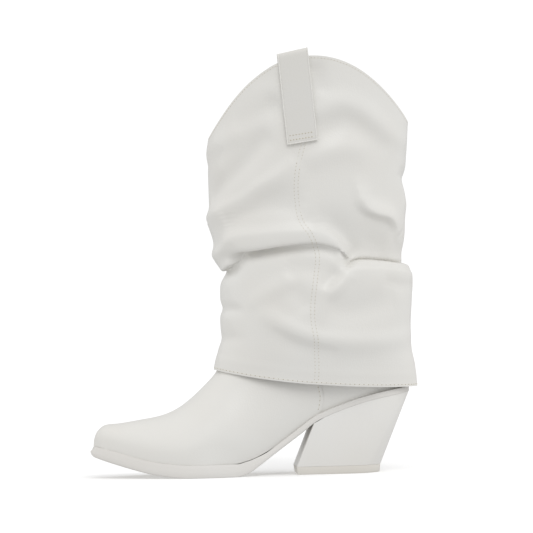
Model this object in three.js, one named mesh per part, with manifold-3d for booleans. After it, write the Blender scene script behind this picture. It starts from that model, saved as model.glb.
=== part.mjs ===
// Slouch mid-calf boot with a raked block heel, left foot.
// Millimetres, +Z up. The toe points along -X and the outer side of the foot is -Y.
// The origin is the centre of the top lift's face on the floor.

import * as THREE from 'three';
import { mergeVertices } from 'three/addons/utils/BufferGeometryUtils.js';
import Module from 'manifold-3d';

const wasm = await Module();
wasm.setup();

// Sizes of the sole and heel
const soleLength = 252.8;
const heelBack = 57.6;
const ballWidth = 85;
const waistWidth = 51;
const seatWidth = 59;
const toeWidth = 24;
const seatRound = 30;
const toeRound = 11;
const tipRound = 3.4;
const seatSquare = 2.1;
const toeSquare = 2.4;
const heelHeight = 63.3;
const toeSpring = 18;
const foreThickness = 10.2;
const toeThickness = 8;
const waistThickness = 5.8;
const seatThickness = 4.6;
const soleBevel = 1.4;
const soleBevelDrop = 2.2;
const soleUndercut = 1.4;
const soleEdgeRound = 0.9;
const heelLength = 67.8;
const heelFootWidth = 51;
const heelBreastSet = 77.5;
const liftHeight = 6.2;
const liftTaper = 1;

// Sizes of the upper
const vampThickness = 2.3;
const liningThickness = 1.6;
const soleMargin = 1.6;
const toeSet = 2.6;
const noseLength = 9;
const noseSquare = 2.2;
const toeBoxHeight = 22;
const featherSwell = 1.4;
const throatHeight = 68;
const throatX = -96.9;
const instepSet = 22;
const ankleHeight = 97;
const ankleWidth = 72;
const ankleDraw = 12.5;
const counterBulge = 2.5;
const insoleThickness = 3;

// Sizes of the sleeve
const sleeveThickness = 1.6;
const rimFrontSet = 0.8;
const rimBackSet = 3.9;
const rimFlare = 1;
const rimFrontRise = 100.6;
const rimBackRise = 110.1;
const rimOuterRise = 162.1;
const rimInnerDrop = 4;
const rimFrontScallop = 1.82;
const rimBackScallop = 2.05;
const hemRise = 5.3;
const hemDrop = 0.9;
const hemSweep = 2.1;
const hemTuck = 3;
const bellyWidth = 104;
const sleeveSquare = 2.15;
const slouchSet = 6;
const foldDepth = 8;
const foldWidth = 8;

// Sizes of the pull straps
const strapWidth = 22;
const strapThickness = 2.2;
const strapDrop = 66;
const strapInnerDrop = 46;
const strapRise = 5.4;
const strapTilt = 0.2;
const strapLoopGap = 6.4;
const strapSlack = 7.5;
const strapInnerLean = 0.07;
const strapLean = THREE.MathUtils.degToRad(4.9);
const outerStrapX = -31.2;
const innerStrapX = -24;

// Clearance between neighbouring pieces
const fitGap = 0.3;

// Fineness of the faces
const weld = 1e-3;
const soleSteps = 40;
const columns = 36;
const strapArchSteps = 6;
const strapLegSteps = 6;
const strapAcrossSteps = 4;

// Places worked out from the sizes
const toeX = heelBack - soleLength;
const seatHalf = seatWidth / 2;
const waistHalf = waistWidth / 2;
const ballHalf = ballWidth / 2;
const toeHalf = toeWidth / 2;
const ankleHalf = ankleWidth / 2;
const breastX = heelBack - heelBreastSet;
const heelFrontX = -heelLength / 2;
const seatZ = heelHeight + seatThickness;
const ankleZ = seatZ + ankleHeight;
const shinX = throatX + instepSet;
const ankleBackX = heelBack - ankleDraw;
const rimWidth = bellyWidth + rimFlare;
const hemWidth = bellyWidth - hemTuck;
const rimInnerRise = rimOuterRise - rimInnerDrop;
const rimFrontX = throatX + rimFrontSet;
const rimBackX = heelBack + rimBackSet;
const rimFrontHeight = ankleZ + rimFrontRise;
const rimBackHeight = ankleZ + rimBackRise;
const hemBackHeight = seatZ - hemDrop;
const sleeveLength = rimBackHeight - hemBackHeight;
const lapStep = vampThickness - liningThickness;
const shaftSet = sleeveThickness + fitGap - lapStep;
const shaftFrontX = rimFrontX + shaftSet;
const shaftBackX = rimBackX - shaftSet;
const shaftHalf = rimWidth / 2 - shaftSet;

// Height of the sole's underside, share of the length from heel to toe
const undersideTable = [
  { at: 0, lift: heelHeight },
  { at: 0.101, lift: 0.93 * heelHeight },
  { at: 0.162, lift: 0.868 * heelHeight },
  { at: 0.208, lift: 0.81 * heelHeight },
  { at: 0.25, lift: 0.748 * heelHeight },
  { at: 0.293, lift: 0.672 * heelHeight },
  { at: 0.345, lift: 0.515 * heelHeight },
  { at: 0.386, lift: 0.396 * heelHeight },
  { at: 0.434, lift: 0.258 * heelHeight },
  { at: 0.482, lift: 0.118 * heelHeight },
  { at: 0.515, lift: 0.036 * heelHeight },
  { at: 0.548, lift: 0 },
  { at: 0.69, lift: 0 },
  { at: 0.763, lift: 0.078 * toeSpring },
  { at: 0.809, lift: 0.178 * toeSpring },
  { at: 0.854, lift: 0.333 * toeSpring },
  { at: 0.905, lift: 0.545 * toeSpring },
  { at: 0.955, lift: 0.775 * toeSpring },
  { at: 1, lift: toeSpring },
];

const thicknessTable = [
  { at: 0, thick: seatThickness },
  { at: 0.27, thick: seatThickness },
  { at: 0.34, thick: waistThickness },
  { at: 0.44, thick: waistThickness },
  { at: 0.53, thick: foreThickness },
  { at: 0.92, thick: foreThickness },
  { at: 1, thick: toeThickness },
];

// Half width of the sole, and how far its middle leans to the inner side
const outlineTable = [
  { at: 0, half: 0.97 * seatHalf, lean: 0 },
  { at: 0.1, half: seatHalf, lean: 0 },
  { at: 0.2, half: 0.985 * seatHalf, lean: -0.008 * ballHalf },
  { at: 0.29, half: 0.935 * seatHalf, lean: -0.035 * ballHalf },
  { at: 0.38, half: waistHalf, lean: -0.075 * ballHalf },
  { at: 0.45, half: 1.06 * waistHalf, lean: -0.075 * ballHalf },
  { at: 0.54, half: 0.8 * ballHalf, lean: -0.05 * ballHalf },
  { at: 0.62, half: 0.955 * ballHalf, lean: -0.02 * ballHalf },
  { at: 0.69, half: ballHalf, lean: 0.02 * ballHalf },
  { at: 0.75, half: 0.94 * ballHalf, lean: 0.05 * ballHalf },
  { at: 0.82, half: 0.79 * ballHalf, lean: 0.075 * ballHalf },
  { at: 0.89, half: 0.605 * ballHalf, lean: 0.09 * ballHalf },
  { at: 0.95, half: 0.5 * ballHalf - 0.1 * toeHalf, lean: 0.1 * ballHalf },
  { at: 1, half: toeHalf, lean: 0.1 * ballHalf },
];

// Forefoot sections of the last, from the toe tip to the throat
// rise: top line above the sole, swell: widest part past the feather edge as a share of its swell,
// level: the widest part's height share, ridge: how far the top line leans in, by half the ball
const forefootTable = [
  { at: 0, rise: 0.6 * toeBoxHeight, swell: 0, level: 0.3, round: 2.5, ridge: 0 },
  { at: 0.12, rise: 0.87 * toeBoxHeight, swell: 0.29, level: 0.3, round: 2.4, ridge: 0 },
  { at: 0.24, rise: 1.06 * toeBoxHeight, swell: 0.57, level: 0.28, round: 2.2, ridge: 0.01 },
  { at: 0.4, rise: 0.447 * throatHeight, swell: 0.71, level: 0.26, round: 2.05, ridge: 0.02 },
  { at: 0.54, rise: 0.515 * throatHeight, swell: 0.86, level: 0.24, round: 1.95, ridge: 0.04 },
  { at: 0.64, rise: 0.577 * throatHeight, swell: 1, level: 0.24, round: 1.9, ridge: 0.06 },
  { at: 0.73, rise: 0.655 * throatHeight, swell: 1, level: 0.23, round: 1.85, ridge: 0.07 },
  { at: 0.82, rise: 0.757 * throatHeight, swell: 0.86, level: 0.24, round: 1.85, ridge: 0.07 },
  { at: 0.91, rise: 0.876 * throatHeight, swell: 0.71, level: 0.26, round: 1.85, ridge: 0.06 },
  { at: 1, rise: throatHeight, swell: 0.71, level: 0.28, round: 1.9, ridge: 0.05 },
];
const toePlaces = [0.004, 0.02, 0.04, 0.085, 0.14, 0.22, 0.31, 0.4, 0.49, 0.58, 0.66, 0.74, 0.82, 0.9, 0.97];

// Instep and heel sections, turning about the front of the ankle
// in and up: front point between throat and shin, along: lower point on the sole from throat to heel
const instepTable = [
  { in: 0.09, up: 0.03, along: 0.09, half: 1.1 * ankleHalf, level: 0.29, round: 1.95, ridge: 0.05 },
  { in: 0.25, up: 0.1, along: 0.19, half: 1.0 * ankleHalf, level: 0.31, round: 2, ridge: 0.04 },
  { in: 0.42, up: 0.185, along: 0.3, half: 0.93 * ankleHalf, level: 0.33, round: 2.05, ridge: 0.03 },
  { in: 0.57, up: 0.28, along: 0.43, half: 0.9 * ankleHalf, level: 0.35, round: 2.1, ridge: 0.02 },
  { in: 0.69, up: 0.37, along: 0.56, half: 0.91 * ankleHalf, level: 0.37, round: 2.1, ridge: 0.01 },
  { in: 0.78, up: 0.455, along: 0.68, half: 0.93 * ankleHalf, level: 0.39, round: 2.1, ridge: 0 },
  { in: 0.845, up: 0.53, along: 0.79, half: 0.95 * ankleHalf, level: 0.4, round: 2.1, ridge: 0 },
  { in: 0.895, up: 0.6, along: 0.88, half: 0.965 * ankleHalf, level: 0.4, round: 2.1, ridge: 0 },
  { in: 0.93, up: 0.655, along: 0.945, half: 0.975 * ankleHalf, level: 0.41, round: 2.1, ridge: 0 },
  { in: 0.95, up: 0.7, along: 0.985, half: 0.98 * ankleHalf, level: 0.41, round: 2.1, ridge: 0 },
];

// Ankle sections, their back point on the counter: rise up the ankle, bulge or draw from the heel's back
const ankleTable = [
  { in: 0.963, up: 0.745, rise: 0.05, bulge: 0.5, draw: 0, half: 0.98 * ankleHalf, level: 0.42, round: 2.1 },
  { in: 0.978, up: 0.8, rise: 0.14, bulge: 0.95, draw: 0, half: 0.99 * ankleHalf, level: 0.43, round: 2.1 },
  { in: 0.989, up: 0.86, rise: 0.25, bulge: 1, draw: 0.05, half: ankleHalf, level: 0.44, round: 2.1 },
  { in: 0.997, up: 0.925, rise: 0.38, bulge: 0.9, draw: 0.2, half: ankleHalf, level: 0.45, round: 2.1 },
  { in: 1, up: 1, rise: 0.53, bulge: 0.6, draw: 0.46, half: 1.01 * ankleHalf, level: 0.46, round: 2.1 },
  { in: 1, up: 1.09, rise: 0.7, bulge: 0.3, draw: 0.78, half: 1.04 * ankleHalf, level: 0.47, round: 2.1 },
];

// Shaft sections, from the ankle to the rim: share of the climb, and of the flare at each side
const shaftTable = [
  { up: 0.14, front: 0.02, back: 0, side: 0.08, level: 0.475 },
  { up: 0.3, front: 0.08, back: 0.03, side: 0.2, level: 0.48 },
  { up: 0.46, front: 0.3, back: 0.18, side: 0.4, level: 0.485 },
  { up: 0.63, front: 0.6, back: 0.45, side: 0.64, level: 0.49 },
  { up: 0.8, front: 0.86, back: 0.78, side: 0.86, level: 0.495 },
  { up: 0.93, front: 0.98, back: 0.97, side: 0.98, level: 0.5 },
  { up: 1, front: 1, back: 1, side: 1, level: 0.5 },
];

// Line where the vamp laps over the counter: share of the sole's length from the heel,
// and height above the sole as a share of the ankle's
const lapTable = [
  { along: 0.293, rise: -0.17 },
  { along: 0.267, rise: 0 },
  { along: 0.254, rise: 0.09 },
  { along: 0.256, rise: 0.18 },
  { along: 0.285, rise: 0.46 },
  { along: 0.37, rise: 0.87 },
  { along: 0.48, rise: 1.2 },
  { along: 0.67, rise: 1.4 },
];

// Sleeve sections, by height above the hem as a share of the sleeve's length at the back
// front and back: how far the wall stands in from below the rim
const sleeveTable = [
  { at: 0, front: -0.17 * slouchSet, back: -0.5 * slouchSet, half: hemWidth / 2 },
  { at: 0.08, front: -0.05 * slouchSet, back: -0.25 * slouchSet, half: hemWidth / 2 },
  { at: 0.15, front: 0.55 * slouchSet, back: 0.2 * slouchSet, half: 0.995 * hemWidth / 2 },
  { at: 0.21, front: 0.97 * slouchSet, back: 0.33 * slouchSet, half: 1.005 * hemWidth / 2 },
  { at: 0.28, front: 0.93 * slouchSet, back: 0.13 * slouchSet, half: 0.99 * bellyWidth / 2 },
  { at: 0.37, front: slouchSet, back: -0.03 * slouchSet, half: bellyWidth / 2 },
  { at: 0.45, front: 0.93 * slouchSet, back: 0.27 * slouchSet, half: 0.98 * bellyWidth / 2 },
  { at: 0.52, front: 0.57 * slouchSet, back: 0.7 * slouchSet, half: 0.97 * bellyWidth / 2 },
  { at: 0.6, front: 0.1 * slouchSet, back: 0.68 * slouchSet, half: 0.99 * bellyWidth / 2 },
  { at: 0.7, front: -0.18 * slouchSet, back: 0.67 * slouchSet, half: rimWidth / 2 },
  { at: 0.82, front: -0.23 * slouchSet, back: 0.48 * slouchSet, half: rimWidth / 2 },
  { at: 0.92, front: -0.03 * slouchSet, back: 0.2 * slouchSet, half: rimWidth / 2 },
  { at: 1, front: 0, back: 0, half: rimWidth / 2 },
];

// Folds of the sleeve. The turn runs from 0 at the front over 90 at the outer side and 180 at the
// back to 360. start, mid and end are heights as shares of the sleeve's length, depth is a share of
// the fold depth with outwards positive, up and down are shares of the fold width.
const foldTable = [
  // Front trough
  { from: -62, to: 98, start: 0.5, mid: 0.454, end: 0.514, depth: -0.85, up: 0.45, down: 1 },
  // Front lip
  { from: -60, to: 108, start: 0.562, mid: 0.5, end: 0.572, depth: 0.15, up: 1.25, down: 0.5 },
  // Front ridge
  { from: 24, to: 120, start: 0.6, mid: 0.6, end: 0.505, depth: 0.22, up: 1.1, down: 1 },
  // Back trough
  { from: 100, to: 262, start: 0.495, mid: 0.534, end: 0.505, depth: -0.5, up: 1.6, down: 0.75 },
  // Back lip
  { from: 98, to: 258, start: 0.438, mid: 0.442, end: 0.452, depth: 0.2, up: 0.55, down: 1.75 },
  // Back roll
  { from: 128, to: 226, start: 0.66, mid: 0.62, end: 0.64, depth: 0.2, up: 0.9, down: 0.9 },
  // Low front
  { from: -48, to: 74, start: 0.303, mid: 0.308, end: 0.264, depth: -0.34, up: 0.6, down: 0.9 },
  // Low ridge
  { from: 36, to: 166, start: 0.308, mid: 0.202, end: 0.197, depth: 0.16, up: 0.9, down: 1 },
  // Low trough
  { from: 40, to: 120, start: 0.274, mid: 0.188, end: 0.159, depth: -0.2, up: 0.9, down: 1.1 },
  // Inner trough
  { from: 236, to: 322, start: 0.524, mid: 0.486, end: 0.447, depth: -0.75, up: 0.6, down: 1.1 },
  // Inner lip
  { from: 240, to: 316, start: 0.562, mid: 0.543, end: 0.505, depth: 0.3, up: 1.25, down: 0.6 },
  // Inner low
  { from: 210, to: 300, start: 0.216, mid: 0.245, end: 0.293, depth: -0.28, up: 0.9, down: 1 },
];
const sleeveRowTable = [
  { to: 0.36, steps: 8 },
  { to: 0.56, steps: 11 },
  { to: 1, steps: 6 },
];

// Heights that follow from the sole's lines, and how far the last is carried down into the sole
const throatZ = soleTopAt(throatX) + throatHeight;
const hemFrontHeight = throatZ + hemRise;
const soleTuck = 6;
const leastHalf = 0.4;

// Reads a column of a table between its rows, on a curve that never overshoots them
function along(table, column, at) {
  const last = table.length - 1;
  if (at <= table[0].at) return table[0][column];
  if (at >= table[last].at) return table[last][column];
  let i = 0;
  while (table[i + 1].at < at) i += 1;
  const slope = (k) => (table[k + 1][column] - table[k][column]) / (table[k + 1].at - table[k].at);
  const tangent = (k) => {
    if (k === 0) return slope(0);
    if (k === last) return slope(last - 1);
    const product = slope(k - 1) * slope(k);
    return product <= 0 ? 0 : 2 * product / (slope(k - 1) + slope(k));
  };
  const span = table[i + 1].at - table[i].at;
  const t = (at - table[i].at) / span;
  const s = 1 - t;
  const ends = table[i][column] * s * s * (1 + 2 * t) + table[i + 1][column] * t * t * (3 - 2 * t);
  return ends + span * t * s * (tangent(i) * s - tangent(i + 1) * t);
}

function mix(a, b, share) {
  return a + (b - a) * share;
}

function signedPower(value, power) {
  return Math.sign(value) * Math.abs(value) ** power;
}

// A closed surface through rings of points: capped at both ends, or joined end to end
function loftGeometry(rings, joined = false) {
  const count = rings[0].length;
  const points = rings.flat();
  const faces = [];
  const bands = joined ? rings.length : rings.length - 1;
  for (let i = 0; i < bands; i += 1) {
    const low = i * count;
    const high = ((i + 1) % rings.length) * count;
    for (let j = 0; j < count; j += 1) {
      const k = (j + 1) % count;
      faces.push(low + j, low + k, high + k, low + j, high + k, high + j);
    }
  }
  if (!joined) {
    const capRing = (start, ring, turned) => {
      const centre = points.length;
      const middle = new THREE.Vector3();
      ring.forEach((point) => middle.add(point));
      points.push(middle.divideScalar(count));
      for (let j = 0; j < count; j += 1) {
        const k = (j + 1) % count;
        faces.push(...(turned ? [centre, start + k, start + j] : [centre, start + j, start + k]));
      }
    };
    capRing(0, rings[0], true);
    capRing((rings.length - 1) * count, rings[rings.length - 1], false);
  }
  const geometry = new THREE.BufferGeometry().setFromPoints(points);
  geometry.setIndex(enclosedVolume(points, faces) < 0 ? faces.reverse() : faces);
  return geometry;
}

function enclosedVolume(points, faces) {
  let volume = 0;
  for (let i = 0; i < faces.length; i += 3) {
    volume += points[faces[i]].dot(points[faces[i + 1]].clone().cross(points[faces[i + 2]]));
  }
  return volume;
}

function solidOf(geometry) {
  const plain = geometry.clone();
  plain.deleteAttribute('normal');
  plain.deleteAttribute('uv');
  const merged = mergeVertices(plain, weld);
  const vertProperties = new Float32Array(merged.attributes.position.array);
  const triVerts = new Uint32Array(merged.index.array);
  return new wasm.Manifold(new wasm.Mesh({ numProp: 3, vertProperties, triVerts }));
}

function geometryOf(solid) {
  const mesh = solid.getMesh();
  const geometry = new THREE.BufferGeometry();
  geometry.setAttribute('position', new THREE.BufferAttribute(mesh.vertProperties, 3));
  geometry.setIndex(new THREE.BufferAttribute(mesh.triVerts, 1));
  return geometry;
}

// A side view outline, drawn as x and z, made solid across the whole width of the boot
function sideSlab(outline) {
  const shape = new THREE.Shape(outline.map((point) => new THREE.Vector2(point.x, point.z)));
  const reach = ballWidth + bellyWidth;
  const slab = new THREE.ExtrudeGeometry(shape, { depth: reach, bevelEnabled: false });
  slab.rotateX(Math.PI / 2);
  slab.translate(0, reach / 2, 0);
  return solidOf(slab);
}

// The sole's lines
function soleShare(x) {
  return (heelBack - x) / soleLength;
}

function undersideAt(x) {
  return along(undersideTable, 'lift', soleShare(x));
}

function soleTopAt(x) {
  return undersideAt(x) + along(thicknessTable, 'thick', soleShare(x));
}

function leanAt(x) {
  return along(outlineTable, 'lean', soleShare(x));
}

function roundEnd(distance, length, power) {
  const left = 1 - THREE.MathUtils.clamp(distance / length, 0, 1);
  return (1 - left ** power) ** (1 / power);
}

function soleHalfAt(x) {
  const half = along(outlineTable, 'half', soleShare(x));
  const seatEnd = roundEnd(heelBack - x, seatRound, seatSquare);
  const toeEnd = roundEnd(x - toeX, toeRound, toeSquare);
  return half * seatEnd * toeEnd;
}

// Stations from heel to toe, closer together at the two rounded ends
function soleStations(endTrim) {
  const crowding = 0.75;
  const xs = [];
  for (let i = 0; i <= soleSteps; i += 1) {
    const even = i / soleSteps;
    const eased = 0.5 - 0.5 * Math.cos(Math.PI * even);
    xs.push(mix(heelBack - endTrim, toeX + endTrim, mix(even, eased, crowding)));
  }
  return xs;
}

// The sole: a bevelled top edge, a side that draws in below, and a rounded tip
function outsoleGeometry() {
  const endTrim = 0.15;
  const waistShare = 0.45;
  const rings = soleStations(endTrim).map((x) => {
    const waistline = mix(undersideAt(x), soleTopAt(x), waistShare);
    const tip = roundEnd(x - toeX, tipRound, 2);
    const top = mix(waistline, soleTopAt(x), tip);
    const bottom = mix(waistline, undersideAt(x), tip);
    const half = soleHalfAt(x);
    const limit = half / 3;
    const bevel = Math.min(soleBevel, limit);
    const undercut = Math.min(soleUndercut * (top - bottom) / foreThickness, limit);
    const edgeRound = Math.min(soleEdgeRound, limit);
    const side = [
      { out: half - bevel, z: top },
      { out: half, z: top - Math.min(soleBevelDrop, (top - bottom) / 3) },
      { out: half - undercut / 3, z: waistline - (waistline - bottom) / 3 },
      { out: half - undercut, z: bottom + Math.min(soleEdgeRound, (top - bottom) / 3) },
      { out: half - undercut - edgeRound, z: bottom },
    ];
    const outer = side.map((point) => new THREE.Vector3(x, leanAt(x) - point.out, point.z));
    const inner = side.map((point) => new THREE.Vector3(x, leanAt(x) + point.out, point.z));
    return [...outer, ...inner.reverse()];
  });
  return loftGeometry(rings);
}

// Everything under the sole's top, raised by a clearance
function belowSole(clearance) {
  const back = heelBack + seatHalf;
  const ahead = toeX - seatHalf;
  const deep = -ballWidth;
  const outline = soleStations(0).map((x) => ({ x, z: soleTopAt(x) + clearance }));
  const backSlope = soleTopAt(heelBack) - soleTopAt(heelBack - 1);
  outline.unshift({ x: back, z: soleTopAt(heelBack) + backSlope * seatHalf + clearance });
  outline.push({ x: ahead, z: soleTopAt(toeX) + clearance });
  outline.push({ x: ahead, z: deep });
  outline.push({ x: back, z: deep });
  return sideSlab(outline);
}

// The seat's outline under the heel, straight across the breast, as x and y
function seatOutline() {
  const backSteps = 15;
  const trim = 0.6;
  const undercut = soleUndercut * seatThickness / foreThickness;
  const edge = (x) => soleHalfAt(x) - Math.min(undercut, soleHalfAt(x) / 3);
  const xs = [];
  for (let i = 0; i <= backSteps; i += 1) {
    const share = Math.sin(Math.PI / 2 * i / backSteps);
    xs.push(mix(breastX, heelBack - trim, share));
  }
  const outer = xs.map((x) => ({ x, y: leanAt(x) - edge(x) }));
  const inner = xs.map((x) => ({ x, y: leanAt(x) + edge(x) })).reverse();
  return [...outer, ...inner];
}

// A point of the heel's outline, from the seat at 0 down to the lift at 1
function heelPoint(point, down, z) {
  const share = (point.x - breastX) / (heelBack - breastX);
  const footX = mix(heelFrontX, heelFrontX + heelLength, share);
  const footY = point.y * heelFootWidth / seatWidth;
  return new THREE.Vector3(mix(point.x, footX, down), mix(point.y, footY, down), z);
}

function heelGeometry() {
  const outline = seatOutline();
  const footZ = liftHeight + fitGap;
  const rings = [0, 0.5, 1].map((down) => outline.map((point) => {
    const seat = undersideAt(point.x) - fitGap;
    return heelPoint(point, down, mix(seat, footZ, down));
  }));
  return loftGeometry(rings);
}

function liftGeometry() {
  const outline = seatOutline();
  const centreX = heelFrontX + heelLength / 2;
  const levels = [
    { z: liftHeight, inset: 0 },
    { z: liftTaper, inset: 0.6 * liftTaper },
    { z: 0, inset: liftTaper },
  ];
  const rings = levels.map(({ z, inset }) => outline.map((point) => {
    const edge = heelPoint(point, 1, z);
    const reachX = Math.abs(edge.x - centreX);
    const reachY = Math.abs(edge.y);
    edge.x -= Math.sign(edge.x - centreX) * Math.min(inset, reachX);
    edge.y -= Math.sign(edge.y) * Math.min(inset, reachY);
    return edge;
  }));
  return loftGeometry(rings);
}

// One ring of the last, in the side plane from its lower point to its front point.
// The wall meets the sole at the half width edge; half is the widest part, at the level's share.
function lastRing({ lower, front, edge = 0, half, level, round, lean = 0, ridge = 0, tuck = 0, climb }) {
  const steepest = 0.985;
  const length = Math.hypot(front.x - lower.x, front.z - lower.z);
  const reach = level / (1 - Math.min(edge / half, steepest) ** round) ** (1 / round);
  const ring = [];
  for (let j = 0; j < columns; j += 1) {
    const turn = 2 * Math.PI * (j + 0.5) / columns;
    const long = signedPower(Math.cos(turn), 2 / round);
    const wide = signedPower(Math.sin(turn), 2 / round);
    const share = Math.max(level + long * (long > 0 ? 1 - level : reach), -tuck / length);
    const x = mix(lower.x, front.x, share);
    const y = lean - half * wide + ridge * Math.max(share, 0);
    const z = mix(lower.z, front.z, share);
    ring.push(new THREE.Vector3(x, y, climb ? climb(z, turn) : z));
  }
  return ring;
}

function forefootRings(offset) {
  const noseX = toeX + toeSet;
  const noseFade = 8;
  return toePlaces.map((at) => {
    const plainX = mix(noseX, throatX, at);
    const nose = roundEnd(plainX - noseX, noseLength, noseSquare);
    const x = plainX - offset * (1 - at) ** noseFade;
    const read = (column) => along(forefootTable, column, at);
    const edge = Math.max((soleHalfAt(plainX) - soleMargin) * nose + offset, leastHalf);
    const rise = Math.max(read('rise') * nose + offset, 2 * leastHalf);
    return lastRing({
      lower: { x, z: soleTopAt(x) },
      front: { x, z: soleTopAt(x) + rise },
      edge,
      half: edge + Math.max(featherSwell * read('swell'), leastHalf / 2) * nose,
      level: read('level'),
      round: read('round'),
      lean: leanAt(x),
      ridge: ballHalf * read('ridge'),
      tuck: soleTuck,
    });
  });
}

function frontPoint(row, offset) {
  return { x: mix(throatX, shinX, row.in) - offset, z: mix(throatZ, ankleZ, row.up) };
}

function instepRings(offset) {
  return instepTable.map((row) => {
    const x = mix(throatX, heelBack, row.along);
    const edge = Math.max(soleHalfAt(x) - soleMargin + offset, leastHalf);
    return lastRing({
      lower: { x, z: soleTopAt(x) },
      front: frontPoint(row, offset),
      edge,
      half: Math.max(row.half + offset, edge + leastHalf),
      level: row.level,
      round: row.round,
      lean: leanAt(x) * (1 - row.in),
      ridge: ballHalf * row.ridge,
      tuck: soleTuck,
    });
  });
}

function ankleRings(offset) {
  return ankleTable.map((row) => {
    const counterX = heelBack - soleMargin + (counterBulge + soleMargin) * row.bulge;
    return lastRing({
      lower: { x: mix(counterX, ankleBackX, row.draw) + offset, z: seatZ + ankleHeight * row.rise },
      front: frontPoint(row, offset),
      half: row.half + offset,
      level: row.level,
      round: row.round,
    });
  });
}

// The shaft climbs from the last ankle ring to the scalloped rim
function shaftRings(offset) {
  const start = ankleTable[ankleTable.length - 1];
  const frontZ = frontPoint(start, offset).z;
  const backZ = seatZ + ankleHeight * start.rise;
  return shaftTable.map((row) => lastRing({
    lower: { x: mix(ankleBackX, shaftBackX, row.back) + offset, z: backZ },
    front: { x: mix(shinX, shaftFrontX, row.front) - offset, z: frontZ },
    half: mix(start.half, shaftHalf, row.side) + offset,
    level: row.level,
    round: sleeveSquare,
    climb: (z, turn) => mix(z, rimHeight(turn), row.up),
  }));
}

// The whole last from toe to rim, grown outwards by an offset and carried on over the rim
function lastSolid(offset, overRim) {
  const rings = [
    ...forefootRings(offset),
    ...instepRings(offset),
    ...ankleRings(offset),
    ...shaftRings(offset),
  ];
  const rim = rings[rings.length - 1];
  if (overRim > 0) {
    rings.push(rim.map((point) => point.clone().setZ(point.z + overRim)));
  } else {
    const inwards = 2 * vampThickness / shaftHalf;
    const centre = new THREE.Vector3((shaftFrontX + shaftBackX) / 2, 0, 0);
    rings.push(rim.map((point) => point.clone().lerp(centre, inwards).setZ(point.z)));
  }
  return solidOf(loftGeometry(rings));
}

function upperGeometry() {
  const ahead = toeX - ballWidth;
  const lap = lapTable.map(({ along: share, rise }) => {
    const x = heelBack - share * soleLength;
    return { x, z: soleTopAt(x) + rise * ankleHeight };
  });
  const region = sideSlab([
    { x: ahead, z: -ballWidth },
    { x: lap[0].x, z: -ballWidth },
    ...lap,
    { x: ahead, z: lap[lap.length - 1].z },
  ]);
  const vamp = lastSolid(0, 0).intersect(region);
  const outside = lastSolid(-lapStep, 0).add(vamp);
  const inside = lastSolid(-vampThickness, 3 * vampThickness);
  return geometryOf(outside.subtract(inside).subtract(belowSole(fitGap)));
}

function insoleGeometry() {
  const inside = lastSolid(-vampThickness - fitGap, 0);
  const layer = belowSole(fitGap + insoleThickness).subtract(belowSole(fitGap));
  return geometryOf(inside.intersect(layer));
}

// Height of the sleeve's rim and hem at a turn
function rimHeight(turn) {
  const forward = Math.cos(turn) > 0;
  const dip = forward ? rimFrontHeight : rimBackHeight;
  const peak = ankleZ + (Math.sin(turn) > 0 ? rimOuterRise : rimInnerRise);
  return mix(dip, peak, Math.abs(Math.sin(turn)) ** (forward ? rimFrontScallop : rimBackScallop));
}

function hemHeight(turn) {
  return mix(hemBackHeight, hemFrontHeight, ((1 + Math.cos(turn)) / 2) ** hemSweep);
}

function foldSwell(turn, at) {
  const fade = 0.8;
  const fullTurn = 360;
  const degrees = THREE.MathUtils.radToDeg(turn);
  let swell = 0;
  foldTable.forEach((fold) => {
    [-fullTurn, 0, fullTurn].forEach((lap) => {
      const share = (degrees + lap - fold.from) / (fold.to - fold.from);
      if (share <= 0 || share >= 1) return;
      const bow = (fold.mid - (fold.start + fold.end) / 2) * (1 - (2 * share - 1) ** 2);
      const away = (at - mix(fold.start, fold.end, share) - bow) * sleeveLength / foldWidth;
      const width = away > 0 ? fold.up : fold.down;
      const window = Math.sin(Math.PI * share) ** fade;
      swell += fold.depth * foldDepth * window * Math.exp(-((away / width) ** 2));
    });
  });
  return swell;
}

// A point of the sleeve's outer face at a turn and a height
function sleevePoint(turn, z, offset) {
  const at = (z - hemBackHeight) / sleeveLength;
  const frontX = rimFrontX + along(sleeveTable, 'front', at);
  const backX = rimBackX - along(sleeveTable, 'back', at);
  const swell = foldSwell(turn, at) + offset;
  const reachX = (backX - frontX) / 2 + swell;
  const reachY = along(sleeveTable, 'half', at) + swell;
  const x = (frontX + backX) / 2 - reachX * signedPower(Math.cos(turn), 2 / sleeveSquare);
  const y = -reachY * signedPower(Math.sin(turn), 2 / sleeveSquare);
  return new THREE.Vector3(x, y, z);
}

function sleeveGeometry() {
  const shares = [0];
  sleeveRowTable.forEach(({ to, steps }) => {
    const start = shares[shares.length - 1];
    for (let i = 1; i <= steps; i += 1) shares.push(mix(start, to, i / steps));
  });
  const ringAt = (share, offset) => {
    const ring = [];
    for (let j = 0; j < columns; j += 1) {
      const turn = 2 * Math.PI * (j + 0.5) / columns;
      ring.push(sleevePoint(turn, mix(hemHeight(turn), rimHeight(turn), share), offset));
    }
    return ring;
  };
  const outside = shares.map((share) => ringAt(share, 0));
  const inside = shares.map((share) => ringAt(share, -sleeveThickness)).reverse();
  return loftGeometry([...outside, ...inside], true);
}

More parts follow.
